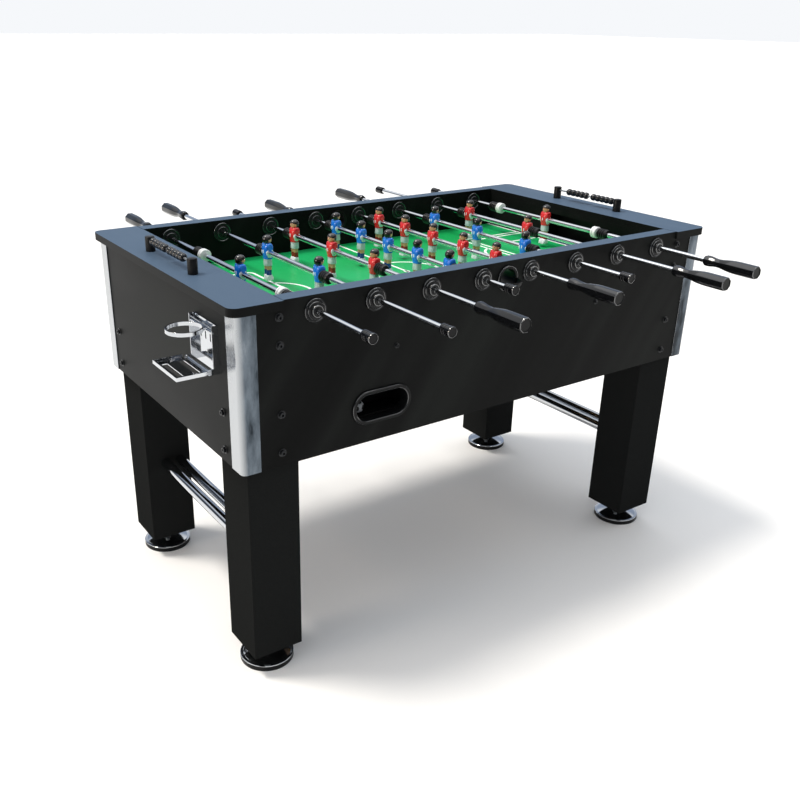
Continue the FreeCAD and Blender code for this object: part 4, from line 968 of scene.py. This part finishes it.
floor_mesh = bpy.data.meshes.new("floor")
FAR = 60
corners = [(-FAR, -FAR, 0), (FAR, -FAR, 0), (FAR, FAR, 0), (-FAR, FAR, 0)]
floor_mesh.from_pydata(corners, [], [(0, 1, 2, 3)])
floor = bpy.data.objects.new("floor", floor_mesh)
bpy.context.scene.collection.objects.link(floor)
pale_floor, shader = finish_of("pale_floor", "#f4f4f3", 0.75)
floor_mesh.materials.append(pale_floor)

world = bpy.data.worlds.new("soft_studio")
bpy.context.scene.world = world
world.use_nodes = True
place = add(world, "TexCoord")
split = add(world, "SeparateXYZ", links={"Vector": place.outputs["Generated"]})
rear = add(world, "MapRange", settings={"interpolation_type": "SMOOTHSTEP"},
           inputs={"From Min": -0.35, "From Max": 0.45}, links={"Value": split.outputs["Y"]})
wall = add(world, "ValToRGB", links={"Fac": rear.outputs["Result"]},
           stops=[(0.0, "#191b1d"), (1.0, "#a0adc2")])
left = add(world, "MapRange", settings={"interpolation_type": "SMOOTHSTEP"},
           inputs={"From Min": -0.55, "From Max": -0.28, "To Min": 0.08, "To Max": 1.0},
           links={"Value": split.outputs["X"]})
dim = add(world, "Mix", settings={"data_type": "RGBA", "blend_type": "MULTIPLY"},
          inputs={0: 1.0}, links={6: wall.outputs["Color"], 7: left.outputs["Result"]})
rise = add(world, "MapRange", settings={"interpolation_type": "SMOOTHSTEP"},
           inputs={"From Min": 0.05, "From Max": 0.17}, links={"Value": split.outputs["Z"]})
horizon = add(world, "Mix", settings={"data_type": "RGBA"}, inputs={6: srgb("#f6f8fb")},
              links={0: rise.outputs["Result"], 7: dim.outputs[2]})
above = add(world, "MapRange", settings={"interpolation_type": "SMOOTHSTEP"},
            inputs={"From Min": 0.42, "From Max": 0.60}, links={"Value": split.outputs["Z"]})
dome = add(world, "Mix", settings={"data_type": "RGBA"}, inputs={7: srgb("#fafcff")},
           links={0: above.outputs["Result"], 6: horizon.outputs[2]})
sky = world.node_tree.nodes["Background"]
sky.inputs["Strength"].default_value = 1.0
join(sky, {"Color": dome.outputs[2]})


def lamp(name, spot, aim, width, height, watts, colour, spread=180):
    """A soft rectangular lamp at a spot, turned to face its aim."""
    light = bpy.data.lights.new(name, "AREA")
    light.shape = "RECTANGLE"
    light.size, light.size_y = width, height
    light.energy = watts
    light.color = srgb(colour)[:3]
    light.spread = math.radians(spread)
    made = bpy.data.objects.new(name, light)
    bpy.context.scene.collection.objects.link(made)
    made.location = spot
    made.rotation_euler = (Vector(aim) - Vector(spot)).to_track_quat("-Z", "Y").to_euler()


lamp("ceiling_panel", (0.2, 0.3, 3.4), (0, 0, 0.6), 3.0, 2.2, 30, "#fbfcff")
lamp("left_panel", (-3.4, 0.3, 1.7), (-0.7, 0, 0.95), 1.2, 0.8, 4, "#fff0e0", spread=50)

overhead = bpy.data.lights.new("overhead", "SUN")
overhead.energy = 2.3
overhead.angle = math.radians(14)
overhead.color = srgb("#fff8ee")[:3]
sun = bpy.data.objects.new("overhead", overhead)
bpy.context.scene.collection.objects.link(sun)
sun.rotation_euler = Vector((0.34, -0.28, -0.9)).to_track_quat("-Z", "Y").to_euler()

eye = bpy.data.cameras.new("viewer")
eye.lens = 40.45
eye.sensor_width = 36
eye.shift_x, eye.shift_y = 0.045, 0.0117
viewer = bpy.data.objects.new("viewer", eye)
bpy.context.scene.collection.objects.link(viewer)
look = Vector((0.5155, 0.7566, -0.4023)).to_track_quat("-Z", "Y").to_matrix().to_4x4()
viewer.matrix_world = (CENTRED @ Matrix.Translation((-1.3746, -1.8284, 1.38)) @ look
                       @ Matrix.Rotation(0.0141, 4, "Z"))
bpy.context.scene.camera = viewer
bpy.context.scene.view_settings.view_transform = "Standard"
